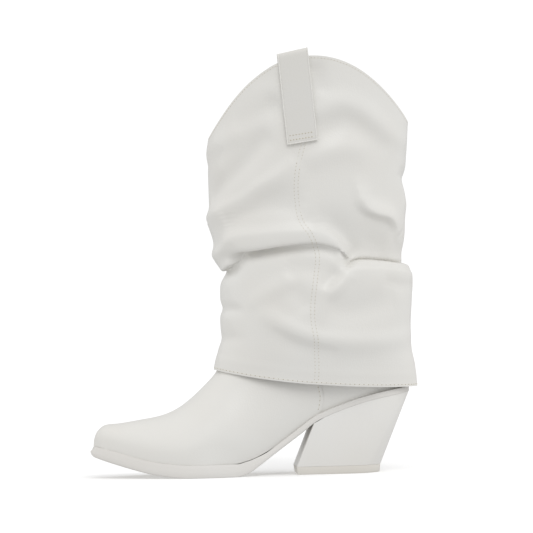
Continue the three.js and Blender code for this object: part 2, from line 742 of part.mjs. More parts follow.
// A pull strap: up the outside, over the rim, and down the inside with slack for a finger
function strapGeometry(side, strapX) {
  const turnAt = (x) => {
    const reach = (rimBackX - rimFrontX) / 2;
    const share = ((rimFrontX + rimBackX) / 2 - x) / reach;
    return side * Math.acos(signedPower(share, sleeveSquare / 2));
  };
  const crownZ = rimHeight(turnAt(strapX)) + strapRise;
  const wallStack = sleeveThickness + fitGap + liningThickness;
  const spread = (strapLoopGap - wallStack - 2 * fitGap) / 2;
  const archSquare = 0.7;
  const strip = (across, face) => {
    const xTop = strapX + across * strapWidth * Math.cos(strapLean);
    const rimZ = rimHeight(turnAt(xTop));
    const xAt = (z) => xTop - (z - rimZ) * Math.tan(strapLean);
    const wallY = (z) => Math.abs(sleevePoint(turnAt(xAt(z)), z, 0).y);
    const outerY = (z) => wallY(z) + fitGap + face * strapThickness;
    const insideY = wallY(rimZ) - wallStack - fitGap - face * strapThickness;
    const middleY = (outerY(rimZ) + insideY) / 2;
    const reachY = (outerY(rimZ) - insideY) / 2;
    const crown = crownZ + across * strapWidth * strapTilt - (1 - face) * strapThickness - rimZ;
    const path = [];
    for (let i = 0; i < strapLegSteps; i += 1) {
      const z = rimZ - strapDrop * (1 - i / strapLegSteps);
      path.push({ z, y: outerY(z) });
    }
    for (let i = 0; i <= strapArchSteps; i += 1) {
      const turn = Math.PI * i / strapArchSteps;
      const bulge = spread * Math.sin(turn) ** 2 * Math.sign(Math.cos(turn));
      const y = middleY + reachY * Math.cos(turn) + bulge;
      path.push({ z: rimZ + crown * Math.sin(turn) ** archSquare, y });
    }
    for (let i = 1; i <= strapLegSteps; i += 1) {
      const down = i / strapLegSteps;
      const slack = strapSlack * Math.sin(Math.PI * down);
      const lean = strapInnerDrop * down * strapInnerLean;
      path.push({ z: rimZ - strapInnerDrop * down, y: insideY - lean - slack });
    }
    return path.map((point) => new THREE.Vector3(xAt(point.z), -side * point.y, point.z));
  };
  const strips = [];
  for (let i = 0; i <= strapAcrossSteps; i += 1) strips.push(strip(i / strapAcrossSteps - 0.5, 1));
  for (let i = strapAcrossSteps; i >= 0; i -= 1) strips.push(strip(i / strapAcrossSteps - 0.5, 0));
  const rings = strips[0].map((_, i) => strips.map((points) => points[i]));
  return loftGeometry(rings);
}

// Finishes
const leather = { color: 0xdedfda, roughness: 0.5, metalness: 0 };
const liningLeather = { color: 0xe6e2d8, roughness: 0.8, metalness: 0 };
const heelCover = { color: 0xd4d4d1, roughness: 0.45, metalness: 0 };
const soleRubber = { color: 0xdad8d2, roughness: 0.6, metalness: 0 };
const liftRubber = { color: 0xd0cdc4, roughness: 0.65, metalness: 0 };

const boot = new THREE.Group();
const pieces = [
  { name: 'outsole', geometry: outsoleGeometry(), finish: soleRubber },
  { name: 'insole', geometry: insoleGeometry(), finish: liningLeather },
  { name: 'heel', geometry: heelGeometry(), finish: heelCover },
  { name: 'top_lift', geometry: liftGeometry(), finish: liftRubber },
  { name: 'upper', geometry: upperGeometry(), finish: leather },
  { name: 'sleeve', geometry: sleeveGeometry(), finish: leather },
  { name: 'pull_strap_lateral', geometry: strapGeometry(1, outerStrapX), finish: leather },
  { name: 'pull_strap_medial', geometry: strapGeometry(-1, innerStrapX), finish: leather },
];
pieces.forEach(({ name, geometry, finish }) => {
  const mesh = new THREE.Mesh(geometry, new THREE.MeshStandardMaterial(finish));
  mesh.name = name;
  boot.add(mesh);
});

export default boot;
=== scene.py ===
import math

import bpy
import numpy as np
from mathutils import Matrix, Vector
from mathutils.kdtree import KDTree


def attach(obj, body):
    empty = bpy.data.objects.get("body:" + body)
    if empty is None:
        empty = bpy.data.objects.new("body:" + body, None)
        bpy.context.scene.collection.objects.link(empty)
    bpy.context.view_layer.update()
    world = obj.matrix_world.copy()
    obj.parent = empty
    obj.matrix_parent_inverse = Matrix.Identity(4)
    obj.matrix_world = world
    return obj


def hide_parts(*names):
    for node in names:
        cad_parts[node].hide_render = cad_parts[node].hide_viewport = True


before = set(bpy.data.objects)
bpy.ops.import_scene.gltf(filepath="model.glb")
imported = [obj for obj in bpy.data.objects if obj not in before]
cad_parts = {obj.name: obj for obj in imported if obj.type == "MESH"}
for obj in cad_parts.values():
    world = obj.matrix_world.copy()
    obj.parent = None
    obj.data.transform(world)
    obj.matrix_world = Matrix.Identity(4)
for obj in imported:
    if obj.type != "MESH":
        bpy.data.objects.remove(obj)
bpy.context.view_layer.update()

MM = 0.001

# Sizes of the boot, in millimetres, as in the solids
SOLE_LENGTH = 252.8
HEEL_BACK = 57.6
TOE_X = HEEL_BACK - SOLE_LENGTH
HEEL_HEIGHT = 63.3
TOE_SPRING = 18.0
BALL_HALF = 42.5
WAIST_HALF = 25.5
SEAT_HALF = 29.5
TOE_HALF = 12.0
SEAT_THICK = 4.6
WAIST_THICK = 5.8
FORE_THICK = 10.2
TOE_THICK = 8.0
SOLE_MARGIN = 1.6
THROAT_X = -96.9
THROAT_HEIGHT = 68.0
SHIN_X = -74.9
ANKLE_HALF = 36.0
ANKLE_HEIGHT = 97.0
ANKLE_BACK_X = 45.1
SEAT_Z = HEEL_HEIGHT + SEAT_THICK
ANKLE_Z = SEAT_Z + ANKLE_HEIGHT
COUNTER_BULGE = 2.5
TOE_BOX = 22.0
SWELL = 1.4
RIM_FRONT_X = -96.1
RIM_BACK_X = 61.5
RIM_HALF = 52.5
HEM_HALF = 50.5
BELLY_HALF = 52.0
RIM_FRONT_Z = 265.5
RIM_BACK_Z = 275.0
RIM_OUTER_Z = 327.0
RIM_INNER_Z = 323.0
HEM_FRONT_Z = 83.5
HEM_BACK_Z = 67.0
SLOUCH = 6.0
SLEEVE_LENGTH = RIM_BACK_Z - HEM_BACK_Z
SLEEVE_THICK = 1.6
SQUARE = 2.15
LAP_STEP = 0.7
SHAFT_SET = 1.2


def mix(a, b, share):
    return a + (b - a) * share


def signed_power(value, power):
    return np.sign(value) * np.abs(value) ** power


def smooth(value):
    value = np.clip(value, 0, 1)
    return value * value * (3 - 2 * value)


def along(places, values, at):
    """A curve through the rows of a table that never overshoots them."""
    x = np.asarray(places, float)
    y = np.asarray(values, float)
    slope = np.diff(y) / np.diff(x)
    product = slope[:-1] * slope[1:]
    total = np.where(product > 0, slope[:-1] + slope[1:], 1)
    tangent = np.concatenate([slope[:1], np.where(product > 0, 2 * product / total, 0), slope[-1:]])
    at = np.clip(np.asarray(at, float), x[0], x[-1])
    i = np.clip(np.searchsorted(x, at, side="left") - 1, 0, len(x) - 2)
    span = x[i + 1] - x[i]
    t = (at - x[i]) / span
    s = 1 - t
    ends = y[i] * s * s * (1 + 2 * t) + y[i + 1] * t * t * (3 - 2 * t)
    return ends + span * t * s * (tangent[i] * s - tangent[i + 1] * t)


# The sole's side and outline: share of the length from heel to toe, then the named column
UNDERSIDE = [
    (0, HEEL_HEIGHT), (0.101, 0.93 * HEEL_HEIGHT), (0.162, 0.868 * HEEL_HEIGHT),
    (0.208, 0.81 * HEEL_HEIGHT), (0.25, 0.748 * HEEL_HEIGHT), (0.293, 0.672 * HEEL_HEIGHT),
    (0.345, 0.515 * HEEL_HEIGHT), (0.386, 0.396 * HEEL_HEIGHT), (0.434, 0.258 * HEEL_HEIGHT),
    (0.482, 0.118 * HEEL_HEIGHT), (0.515, 0.036 * HEEL_HEIGHT), (0.548, 0), (0.69, 0),
    (0.763, 0.078 * TOE_SPRING), (0.809, 0.178 * TOE_SPRING), (0.854, 0.333 * TOE_SPRING),
    (0.905, 0.545 * TOE_SPRING), (0.955, 0.775 * TOE_SPRING), (1, TOE_SPRING),
]
THICKNESS = [
    (0, SEAT_THICK), (0.27, SEAT_THICK), (0.34, WAIST_THICK), (0.44, WAIST_THICK),
    (0.53, FORE_THICK), (0.92, FORE_THICK), (1, TOE_THICK),
]
OUTLINE = [
    (0, 0.97 * SEAT_HALF, 0), (0.1, SEAT_HALF, 0), (0.2, 0.985 * SEAT_HALF, -0.008),
    (0.29, 0.935 * SEAT_HALF, -0.035), (0.38, WAIST_HALF, -0.075), (0.45, 1.06 * WAIST_HALF, -0.075),
    (0.54, 0.8 * BALL_HALF, -0.05), (0.62, 0.955 * BALL_HALF, -0.02), (0.69, BALL_HALF, 0.02),
    (0.75, 0.94 * BALL_HALF, 0.05), (0.82, 0.79 * BALL_HALF, 0.075), (0.89, 0.605 * BALL_HALF, 0.09),
    (0.95, 0.5 * BALL_HALF - 0.1 * TOE_HALF, 0.1), (1, TOE_HALF, 0.1),
]


def column(table, index, at):
    return along([row[0] for row in table], [row[index] for row in table], at)


def sole_share(x):
    return (HEEL_BACK - np.asarray(x, float)) / SOLE_LENGTH


def underside_at(x):
    return column(UNDERSIDE, 1, sole_share(x))


def sole_top_at(x):
    return underside_at(x) + column(THICKNESS, 1, sole_share(x))


def lean_at(x):
    return BALL_HALF * column(OUTLINE, 2, sole_share(x))


def round_end(distance, length, power):
    left = 1 - np.clip(distance / length, 0, 1)
    return (1 - left ** power) ** (1 / power)


def sole_half_at(x):
    half = column(OUTLINE, 1, sole_share(x))
    return half * round_end(HEEL_BACK - x, 30, 2.1) * round_end(x - TOE_X, 11, 2.4)


def throat_z():
    return float(sole_top_at(THROAT_X)) + THROAT_HEIGHT


# Sections of the last, as in the solids
# at, rise, swell, level, round, ridge
FOREFOOT = [
    (0, 0.6 * TOE_BOX, 0, 0.3, 2.5, 0),
    (0.12, 0.87 * TOE_BOX, 0.29, 0.3, 2.4, 0),
    (0.24, 1.06 * TOE_BOX, 0.57, 0.28, 2.2, 0.01),
    (0.4, 0.447 * THROAT_HEIGHT, 0.71, 0.26, 2.05, 0.02),
    (0.54, 0.515 * THROAT_HEIGHT, 0.86, 0.24, 1.95, 0.04),
    (0.64, 0.577 * THROAT_HEIGHT, 1, 0.24, 1.9, 0.06),
    (0.73, 0.655 * THROAT_HEIGHT, 1, 0.23, 1.85, 0.07),
    (0.82, 0.757 * THROAT_HEIGHT, 0.86, 0.24, 1.85, 0.07),
    (0.91, 0.876 * THROAT_HEIGHT, 0.71, 0.26, 1.85, 0.06),
    (1, THROAT_HEIGHT, 0.71, 0.28, 1.9, 0.05),
]
TOE_PLACES = [0.004, 0.02, 0.04, 0.085, 0.14, 0.22, 0.31, 0.4, 0.49, 0.58, 0.66, 0.74, 0.82, 0.9, 0.97]
# in, up, along, half, level, round, ridge
INSTEP = [
    (0.09, 0.03, 0.09, 1.1, 0.29, 1.95, 0.05),
    (0.25, 0.1, 0.19, 1.0, 0.31, 2, 0.04),
    (0.42, 0.185, 0.3, 0.93, 0.33, 2.05, 0.03),
    (0.57, 0.28, 0.43, 0.9, 0.35, 2.1, 0.02),
    (0.69, 0.37, 0.56, 0.91, 0.37, 2.1, 0.01),
    (0.78, 0.455, 0.68, 0.93, 0.39, 2.1, 0),
    (0.845, 0.53, 0.79, 0.95, 0.4, 2.1, 0),
    (0.895, 0.6, 0.88, 0.965, 0.4, 2.1, 0),
    (0.93, 0.655, 0.945, 0.975, 0.41, 2.1, 0),
    (0.95, 0.7, 0.985, 0.98, 0.41, 2.1, 0),
    (0.957, 0.725, 0.9995, 0.98, 0.415, 2.1, 0),
]
# in, up, rise, bulge, draw, half, level
ANKLE = [
    (0.963, 0.745, 0.05, 0.5, 0, 0.98, 0.42),
    (0.978, 0.8, 0.14, 0.95, 0, 0.99, 0.43),
    (0.989, 0.86, 0.25, 1, 0.05, 1, 0.44),
    (0.997, 0.925, 0.38, 0.9, 0.2, 1, 0.45),
    (1, 1, 0.53, 0.6, 0.46, 1.01, 0.46),
    (1, 1.09, 0.7, 0.3, 0.78, 1.04, 0.47),
]
# up, front, back, side, level
SHAFT = [
    (0.14, 0.02, 0, 0.08, 0.475),
    (0.3, 0.08, 0.03, 0.2, 0.48),
    (0.46, 0.3, 0.18, 0.4, 0.485),
    (0.63, 0.6, 0.45, 0.64, 0.49),
    (0.8, 0.86, 0.78, 0.86, 0.495),
    (0.93, 0.98, 0.97, 0.98, 0.5),
    (1, 1, 1, 1, 0.5),
]
# share of the sole from the heel, height above the sole as a share of the ankle's
LAP = [
    (0.279, -0.17), (0.261, 0), (0.253, 0.09), (0.256, 0.18),
    (0.285, 0.46), (0.37, 0.87), (0.48, 1.2), (0.67, 1.4),
]


def rim_height(turn):
    forward = np.cos(turn) > 0
    dip = np.where(forward, RIM_FRONT_Z, RIM_BACK_Z)
    peak = np.where(np.sin(turn) > 0, RIM_OUTER_Z, RIM_INNER_Z)
    return mix(dip, peak, np.abs(np.sin(turn)) ** np.where(forward, 1.82, 2.05))


def hem_height(turn):
    return mix(HEM_BACK_Z, HEM_FRONT_Z, ((1 + np.cos(turn)) / 2) ** 2.1)


def last_ring(lower, front, edge, half, level, power, lean, ridge, columns, climb=None):
    """One section of the last, from the feather edge on one side over the ridge to the other."""
    ratio = min(edge / half, 0.985)
    reach = level / (1 - ratio ** power) ** (1 / power)
    end = math.acos(-min(level / reach, 1) ** (power / 2)) if edge > 0 else math.pi
    turn = np.linspace(-end, end, columns)
    long = signed_power(np.cos(turn), 2 / power)
    wide = signed_power(np.sin(turn), 2 / power)
    share = level + long * np.where(long > 0, 1 - level, reach)
    x = mix(lower[0], front[0], share)
    y = lean - half * wide + ridge * np.maximum(share, 0)
    z = mix(lower[1], front[1], share)
    if climb is not None:
        z = climb(z, turn)
    return np.stack([x, y, z], axis=1)


def last_rings(offset, columns):
    nose_x = TOE_X + 2.6
    rings = []
    for at in TOE_PLACES:
        plain_x = mix(nose_x, THROAT_X, at)
        nose = float(round_end(plain_x - nose_x, 9, 2.2))
        x = plain_x - offset * (1 - at) ** 8
        edge = max((float(sole_half_at(plain_x)) - SOLE_MARGIN) * nose + offset, 0.4)
        rise = max(float(column(FOREFOOT, 1, at)) * nose + offset, 0.8)
        half = edge + max(SWELL * float(column(FOREFOOT, 2, at)), 0.2) * nose
        top = float(sole_top_at(x))
        rings.append(last_ring(
            (x, top), (x, top + rise), edge, half, float(column(FOREFOOT, 3, at)),
            float(column(FOREFOOT, 4, at)), float(lean_at(x)),
            BALL_HALF * float(column(FOREFOOT, 5, at)), columns))
    throat = throat_z()
    for inwards, up, place, half, level, power, ridge in INSTEP:
        x = mix(THROAT_X, HEEL_BACK, place)
        edge = max(float(sole_half_at(x)) - SOLE_MARGIN + offset, 0.4)
        front = (mix(THROAT_X, SHIN_X, inwards) - offset, mix(throat, ANKLE_Z, up))
        rings.append(last_ring(
            (x, float(sole_top_at(x))), front, edge, max(half * ANKLE_HALF + offset, edge + 0.4),
            level, power, float(lean_at(x)) * (1 - inwards), BALL_HALF * ridge, columns))
    for inwards, up, rise, bulge, draw, half, level in ANKLE:
        counter = HEEL_BACK - SOLE_MARGIN + (COUNTER_BULGE + SOLE_MARGIN) * bulge
        lower = (mix(counter, ANKLE_BACK_X, draw) + offset, SEAT_Z + ANKLE_HEIGHT * rise)
        front = (mix(THROAT_X, SHIN_X, inwards) - offset, mix(throat, ANKLE_Z, up))
        rings.append(last_ring(
            lower, front, 0, half * ANKLE_HALF + offset, level, 2.1, 0, 0, columns))
    for up, front_share, back_share, side_share, level in SHAFT:
        lower = (mix(ANKLE_BACK_X, RIM_BACK_X - SHAFT_SET, back_share) + offset,
                 SEAT_Z + ANKLE_HEIGHT * ANKLE[-1][2])
        front = (mix(SHIN_X, RIM_FRONT_X + SHAFT_SET, front_share) - offset,
                 mix(throat, ANKLE_Z, ANKLE[-1][1]))
        half = mix(ANKLE[-1][5] * ANKLE_HALF, RIM_HALF - SHAFT_SET, side_share) + offset
        rings.append(last_ring(
            lower, front, 0, half, level, SQUARE, 0, 0, columns,
            climb=lambda z, turn, up=up: mix(z, rim_height(turn), up)))
    return np.array(rings)


def refine(rings, steps):
    """A smooth surface through the sections, with more rows between them."""
    padded = np.concatenate([2 * rings[:1] - rings[1:2], rings, 2 * rings[-1:] - rings[-2:-1]])
    rows = []
    for i in range(len(rings) - 1):
        a, b, c, d = padded[i:i + 4]
        for k in range(steps):
            t = k / steps
            rows.append(0.5 * (2 * b + (c - a) * t + (2 * a - 5 * b + 4 * c - d) * t * t
                               + (3 * b - a - 3 * c + d) * t ** 3))
    rows.append(rings[-1])
    return np.array(rows)


# Sleeve sections: height above the hem as a share, front, back, half width
SLEEVE = [
    (0, -0.17, -0.5, 0.815 * HEM_HALF), (0.08, -0.05, -0.25, 0.87 * HEM_HALF), (0.15, 0.55, 0.2, 0.94 * HEM_HALF),
    (0.21, 0.97, 0.33, 0.995 * HEM_HALF), (0.28, 0.93, 0.13, 0.99 * BELLY_HALF),
    (0.37, 1, -0.03, BELLY_HALF), (0.45, 0.93, 0.27, 0.98 * BELLY_HALF),
    (0.52, 0.57, 0.7, 0.97 * BELLY_HALF), (0.6, 0.1, 0.68, 0.99 * BELLY_HALF),
    (0.7, -0.18, 0.67, RIM_HALF), (0.82, -0.23, 0.48, RIM_HALF), (0.92, -0.03, 0.2, RIM_HALF),
    (1, 0, 0, RIM_HALF),
]


def sleeve_base(turn, z, offset=0.0):
    """The plain sleeve at a turn and height, before its creases, and its outward direction."""
    at = (z - HEM_BACK_Z) / SLEEVE_LENGTH
    front = RIM_FRONT_X + SLOUCH * column(SLEEVE, 1, at)
    back = RIM_BACK_X - SLOUCH * column(SLEEVE, 2, at)
    half = column(SLEEVE, 3, at)
    reach = (back - front) / 2 + offset
    wide = half + offset
    x = (front + back) / 2 - reach * signed_power(np.cos(turn), 2 / SQUARE)
    y = -wide * signed_power(np.sin(turn), 2 / SQUARE)
    out_x = -signed_power(np.cos(turn), 2 - 2 / SQUARE) / reach
    out_y = -signed_power(np.sin(turn), 2 - 2 / SQUARE) / wide
    length = np.sqrt(out_x ** 2 + out_y ** 2)
    return x, y, out_x / length, out_y / length


# Distance round the sleeve from its front, for a turn
_turns = np.linspace(-math.pi, math.pi, 721)
_x, _y, _, _ = sleeve_base(_turns, np.full(721, 200.0))
_steps = np.hypot(np.diff(_x), np.diff(_y))
ROUND = np.concatenate([[0], np.cumsum(_steps)])
ROUND -= np.interp(0, _turns, ROUND)
GIRTH = float(ROUND[-1] - ROUND[0])


def round_of(turn):
    wrapped = (np.asarray(turn, float) + math.pi) % (2 * math.pi) - math.pi
    return np.interp(wrapped, _turns, ROUND)


# Places on the sleeve. The outer side stands nearer the eye than the middle plane,
# so what is read there from the side lies a little further to the front.
NEAR_SHIFT = -3.5


def side(x, z, strength=1.0):
    share = np.clip((-17.3 - (x + NEAR_SHIFT)) / 78.8, -1, 1)
    turn = math.acos(float(signed_power(share, SQUARE / 2)))
    return float(round_of(turn)), z, strength


def around(degrees, z, strength=1.0):
    turn = math.radians(degrees)
    laps = math.floor((turn + math.pi) / (2 * math.pi))
    return float(round_of(turn)) + laps * GIRTH, z, strength


# Creases of the sleeve: out is how far it stands out in millimetres, up and down are its widths
# above and below its line, lift moves the leather there upwards, reach and place say how far above
CREASES = [
    dict(name="front_trough", out=-6.5, up=3.2, down=8, lift=-2.0, place=3.6, reach=3.2, line=[
        around(-66, 172, 0.2), around(-40, 166.5, 0.8), around(-15, 163, 1), around(5, 162.5, 1),
        side(-85, 164.5, 1), side(-80, 170, 0.8), side(-75, 175, 0.4), side(-69, 178, 0)]),
    dict(name="front_lip", out=-2.2, up=1.6, down=4.5, lift=-2.6, place=2.4, reach=1.8, line=[
        side(-70, 178, 0), side(-77, 175.5, 0.8), side(-84, 172.5, 1), side(-90, 169, 1),
        around(2, 167, 0.8), around(-18, 166, 0.1)]),
    dict(name="main_trough", out=-8.0, up=2.8, down=8.5, lift=-6.8, place=4.0, reach=3.0, line=[
        side(-84, 168, 0), side(-78, 174, 0.35), side(-72, 177.3, 0.8), side(-64, 178.8, 1),
        side(-52.8, 180, 0.95), side(-35, 181.4, 0.8), side(-15, 181.6, 0.62), side(-2, 179, 0.52),
        side(8, 174.5, 0.52), side(14, 168.5, 0.5), side(17.5, 164.5, 0.25)]),
    dict(name="roll", out=4.2, up=6.5, down=8, line=[
        around(-40, 176, 0.3), around(-10, 173, 0.8), side(-88, 175, 1), side(-78, 185, 1),
        side(-56, 188, 1), side(-25, 189.5, 1), side(-8, 188, 1), side(0, 185.5, 1.1), side(6, 180.5, 1.2),
        side(11, 174, 1.2), side(16.5, 166.5, 0.7)]),
    dict(name="above_roll", out=-3.5, up=14, down=9, line=[
        side(-84, 198, 0.3), side(-70, 207, 0.9), side(-52, 211, 1), side(-34, 211, 1), side(-16, 209, 0.6)]),
    dict(name="diagonal_ridge", out=3.3, up=6, down=9.5, line=[
        around(-20, 201, 0), around(0, 202, 0.5), side(-94, 201.7, 1), side(-71.4, 214.4, 1),
        side(-54, 225.7, 1), side(-37.4, 235.8, 0.8), side(-23.3, 249.3, 0.2)]),
    dict(name="diagonal_trough", out=-3.6, up=9, down=8, line=[
        around(5, 218, 0), side(-88, 223, 0.8), side(-67, 243, 1), side(-57, 256, 1), side(-44, 269, 0.4)]),
    dict(name="upper_ridge", out=2.0, up=9, down=8, line=[
        around(-8, 246, 0), side(-93.5, 254, 1), side(-79, 264, 1), side(-60, 274, 1), side(-42, 283, 0.5)]),
    dict(name="left_of_strap", out=-2.8, up=9, down=10, line=[
        side(-74, 270, 0.4), side(-62, 276, 0.8), side(-50, 284, 1), side(-43, 290, 1.1), side(-36, 297, 0.5)]),
    dict(name="top_left", out=-1.1, up=8, down=8, line=[side(-62, 304, 0.3), side(-50, 312, 1), side(-40, 318, 0.4)]),
    dict(name="right_of_strap", out=-2.2, up=7, down=7, line=[
        side(-13, 325, 0.4), side(-10, 316, 1), side(-8, 305, 0.8), side(-6, 293, 0.2)]),
    dict(name="arch_ridge", out=2.3, up=9, down=7, line=[
        side(-16, 277, 0.1), side(-4, 285, 0.9), side(10, 289.5, 1), side(23, 285, 1), side(36, 275, 1),
        side(47, 266, 0.9), side(58, 260, 0.5), around(178, 258, 0)]),
    dict(name="arch_trough", out=-2.4, up=8, down=9, line=[
        side(-12, 263, 0.2), side(0, 271, 1), side(12, 274, 1), side(25, 269, 1), side(38, 259, 0.6),
        side(50, 249, 0.1)]),
    dict(name="middle_ridge", out=2.3, up=8, down=9, line=[
        side(-22, 242, 0.3), side(-10, 248.5, 1), side(3, 253, 1), side(18, 254, 0.7), side(34, 249, 0.2)]),
    dict(name="right_hollow", out=-3.5, up=13, down=16, line=[
        side(-14, 198, 0.4), side(2, 196, 1), side(14, 191, 1), side(26, 185, 1), side(40, 179, 1),
        side(52, 175, 0.8)]),
    dict(name="snake_ridge", out=4.8, up=8.5, down=2.6, line=[
        side(20, 236, 0), side(22.6, 227, 0.25), side(24.2, 219, 0.7), side(25.4, 213, 1), side(29.2, 207.3, 1),
        side(36.9, 203.2, 1), side(46.6, 200.4, 1), side(51.6, 196.4, 0.8), side(55, 190.4, 0.45),
        side(57, 183, 0.12), around(176, 178, 0)]),
    dict(name="right_recess", out=-6.0, up=16, down=1.5, lift=2.2, place=-1.8, reach=2.4, line=[
        side(6, 161.5, 0.3), side(12, 162, 0.8), side(18, 165, 1), side(24.4, 166.6, 1),
        side(36.9, 166.2, 1), side(48.6, 165, 1), side(57, 163.8, 0.9), around(176, 163, 0.8),
        around(200, 164.5, 0.7), around(228, 169.5, 0.5), around(250, 173.5, 0.1)]),
    dict(name="right_crevice", out=-3.2, up=2.2, down=1.3, line=[
        side(8, 161.8, 0.2), side(13, 162.8, 0.8), side(18, 165, 1), side(24.4, 166.6, 1), side(36.9, 166.3, 1),
        side(48.6, 165.2, 1), side(57, 164, 0.9), around(178, 163, 0.4), around(190, 163, 0)]),
    dict(name="pinch_edge", out=-3.4, up=9, down=2.2, line=[
        side(-6, 195, 0), side(3, 190, 0.8), side(9.5, 185, 1), side(14, 178.5, 1), side(18, 171, 1),
        side(20, 166, 0.4)]),
    dict(name="right_lip", out=1.8, up=2.2, down=12, line=[
        side(8, 156.5, 0.2), side(20, 159.5, 1), side(36, 159.8, 1), side(50, 158.4, 1), around(176, 156, 0.9),
        around(205, 157, 0.7), around(235, 162, 0.2)]),
    dict(name="pinch_facet", out=3.0, up=5.5, down=5, line=[
        side(15, 160.5, 0.7), side(6, 152.5, 1), side(-2, 144, 1), side(-9, 134.5, 0.3)]),
    dict(name="pinch_trough", out=-3.0, up=4.5, down=6, line=[
        side(7, 161, 0.2), side(1, 157, 0.8), side(-6, 151, 0.8), side(-13, 142, 0.2)]),
    dict(name="under_roll", out=-1.5, up=8, down=9, line=[
        side(-44, 166, 0.3), side(-28, 163, 1), side(-12, 161.5, 1), side(2, 163, 0.5)]),
    dict(name="faint_band", out=1.5, up=7, down=7, line=[
        side(-74, 133, 0.3), side(-58, 142, 1), side(-44, 151, 1), side(-33, 158, 0.4)]),
    dict(name="seam_hollow", out=-2.0, up=7, down=8, line=[
        side(-38, 151, 0.4), side(-29, 139, 1), side(-21, 126, 0.6)]),
    dict(name="low_ridge", out=2.9, up=7, down=8, line=[
        side(-68, 131, 0), side(-56, 125.5, 0.6), side(-42.4, 117.7, 1), side(-27, 110.5, 1),
        side(-14.6, 106.5, 1), side(4, 103.5, 1), side(27.4, 103, 0.9), side(50.8, 104.9, 0.6),
        around(185, 112, 0.1)]),
    dict(name="low_trough", out=-2.2, up=5, down=8, line=[
        side(-60, 117, 0), side(-48, 111, 0.5), side(-34, 104, 0.8), side(-16, 99, 0.5), side(6, 96, 0.2)]),
    dict(name="right_triangle", out=-3.0, up=12, down=11, line=[
        side(-10, 131, 0.5), side(6, 128, 1), side(22, 129, 1), side(38, 133, 0.7), side(52, 139, 0.2)]),
    dict(name="back_hollow", out=-1.3, up=5, down=6, line=[
        side(36, 151.5, 0.3), side(46, 149, 1), side(55, 147, 1), around(180, 147, 0.2)]),
    dict(name="front_notch", out=-2.3, up=4.5, down=4, line=[
        around(-44, 138, 0), around(-18, 133, 0.8), around(5, 131, 1), side(-88, 131, 1), side(-70, 129, 0.1)]),
    dict(name="front_notch_low", out=-1.0, up=5, down=5, line=[
        around(-30, 110, 0), around(0, 107, 1), side(-84, 108, 0.6), side(-70, 106, 0)]),
    dict(name="hem_fold", out=0.3, up=2, down=2, line=[around(d, float(hem_height(math.radians(d))) + 9.5)
                                                     for d in range(-180, 181, 12)]),
    dict(name="inner_trough", out=-5.5, up=4, down=8, lift=-3.2, place=4, reach=3.6, line=[
        around(-128, 162, 0.1), around(-112, 167, 0.8), around(-92, 170, 1), around(-72, 171, 1),
        around(-54, 168, 0.5)]),
    dict(name="inner_roll", out=3.5, up=9, down=8, line=[
        around(-132, 170, 0.1), around(-110, 176, 1), around(-88, 181, 1), around(-66, 180, 0.9),
        around(-44, 174, 0.3)]),
    dict(name="inner_diagonal", out=3.0, up=8, down=8, line=[
        around(-150, 196, 0.3), around(-128, 208, 1), around(-104, 226, 1), around(-84, 243, 0.3)]),
    dict(name="inner_hollow", out=-3.0, up=14, down=12, line=[
        around(-140, 222, 0.4), around(-112, 246, 1), around(-88, 262, 0.6)]),
    dict(name="inner_upper", out=2.2, up=9, down=9, line=[
        around(-40, 250, 0.2), around(-66, 262, 1), around(-92, 282, 1), around(-116, 290, 0.4)]),
    dict(name="inner_low_ridge", out=3.4, up=7, down=7, line=[
        around(-146, 112, 0.3), around(-118, 106, 1), around(-92, 109, 1), around(-66, 121, 1), around(-42, 133, 0.2)]),
    dict(name="inner_low_hollow", out=-3.0, up=10, down=9, line=[
        around(-140, 134, 0.4), around(-112, 130, 1), around(-86, 136, 1), around(-64, 146, 0.4)]),
    dict(name="back_crease", out=-2.4, up=6, down=7, line=[
        around(150, 236, 0.1), around(172, 231, 1), around(196, 228, 1), around(222, 231, 0.2)]),
    dict(name="back_ridge", out=1.6, up=8, down=8, line=[
        around(158, 214, 0.1), around(182, 210, 1), around(208, 206, 1), around(230, 198, 0.2)]),
]


def crease_field(round_at, height, crease):
    """How far each point of the sleeve stands out and moves up by one crease."""
    keys = np.array(crease["line"], float)
    samples = refine(keys[:, None, :], 14)[:, 0, :]
    step = np.diff(samples[:, :2], axis=0)
    step = np.concatenate([step, step[-1:]])
    lengths = np.linalg.norm(step, axis=1)
    step /= lengths[:, None]
    run = np.cumsum(lengths)
    samples[:, 2] *= smooth(np.minimum(run, run[-1] - run) / 9)
    reach = 3.2 * max(crease["up"], crease["down"])
    outward = np.zeros_like(height)
    upward = np.zeros_like(height)
    for lap in (-GIRTH, 0, GIRTH):
        local = round_at + lap
        near = ((local > samples[:, 0].min() - reach) & (local < samples[:, 0].max() + reach)
                & (height > samples[:, 1].min() - reach) & (height < samples[:, 1].max() + reach))
        if not near.any():
            continue
        s, z = local[near], height[near]
        gap_s = s[:, None] - samples[None, :, 0]
        gap_z = z[:, None] - samples[None, :, 1]
        square = gap_s ** 2 + gap_z ** 2
        first = square.argmin(axis=1)
        rows = np.arange(len(s))
        distance = np.sqrt(square[rows, first])
        above = step[first, 0] * gap_z[rows, first] - step[first, 1] * gap_s[rows, first] > 0
        strength = np.clip(samples[first, 2], 0, 1.2)
        width = np.where(above, crease["up"], crease["down"])
        outward[near] += crease["out"] * strength * np.exp(-(distance / width) ** 2)
        if "lift" in crease:
            signed = np.where(above, distance, -distance) - crease["place"]
            upward[near] += crease["lift"] * strength * np.exp(-(signed / crease["reach"]) ** 2)
    return outward, upward


SLEEVE_COLUMNS = 232
SLEEVE_ROWS = [(0.0, 0), (0.33, 36), (0.62, 78), (0.77, 28), (1.0, 34)]
LEVEL_Z = 236.0
LEVEL_SHARE = 0.76


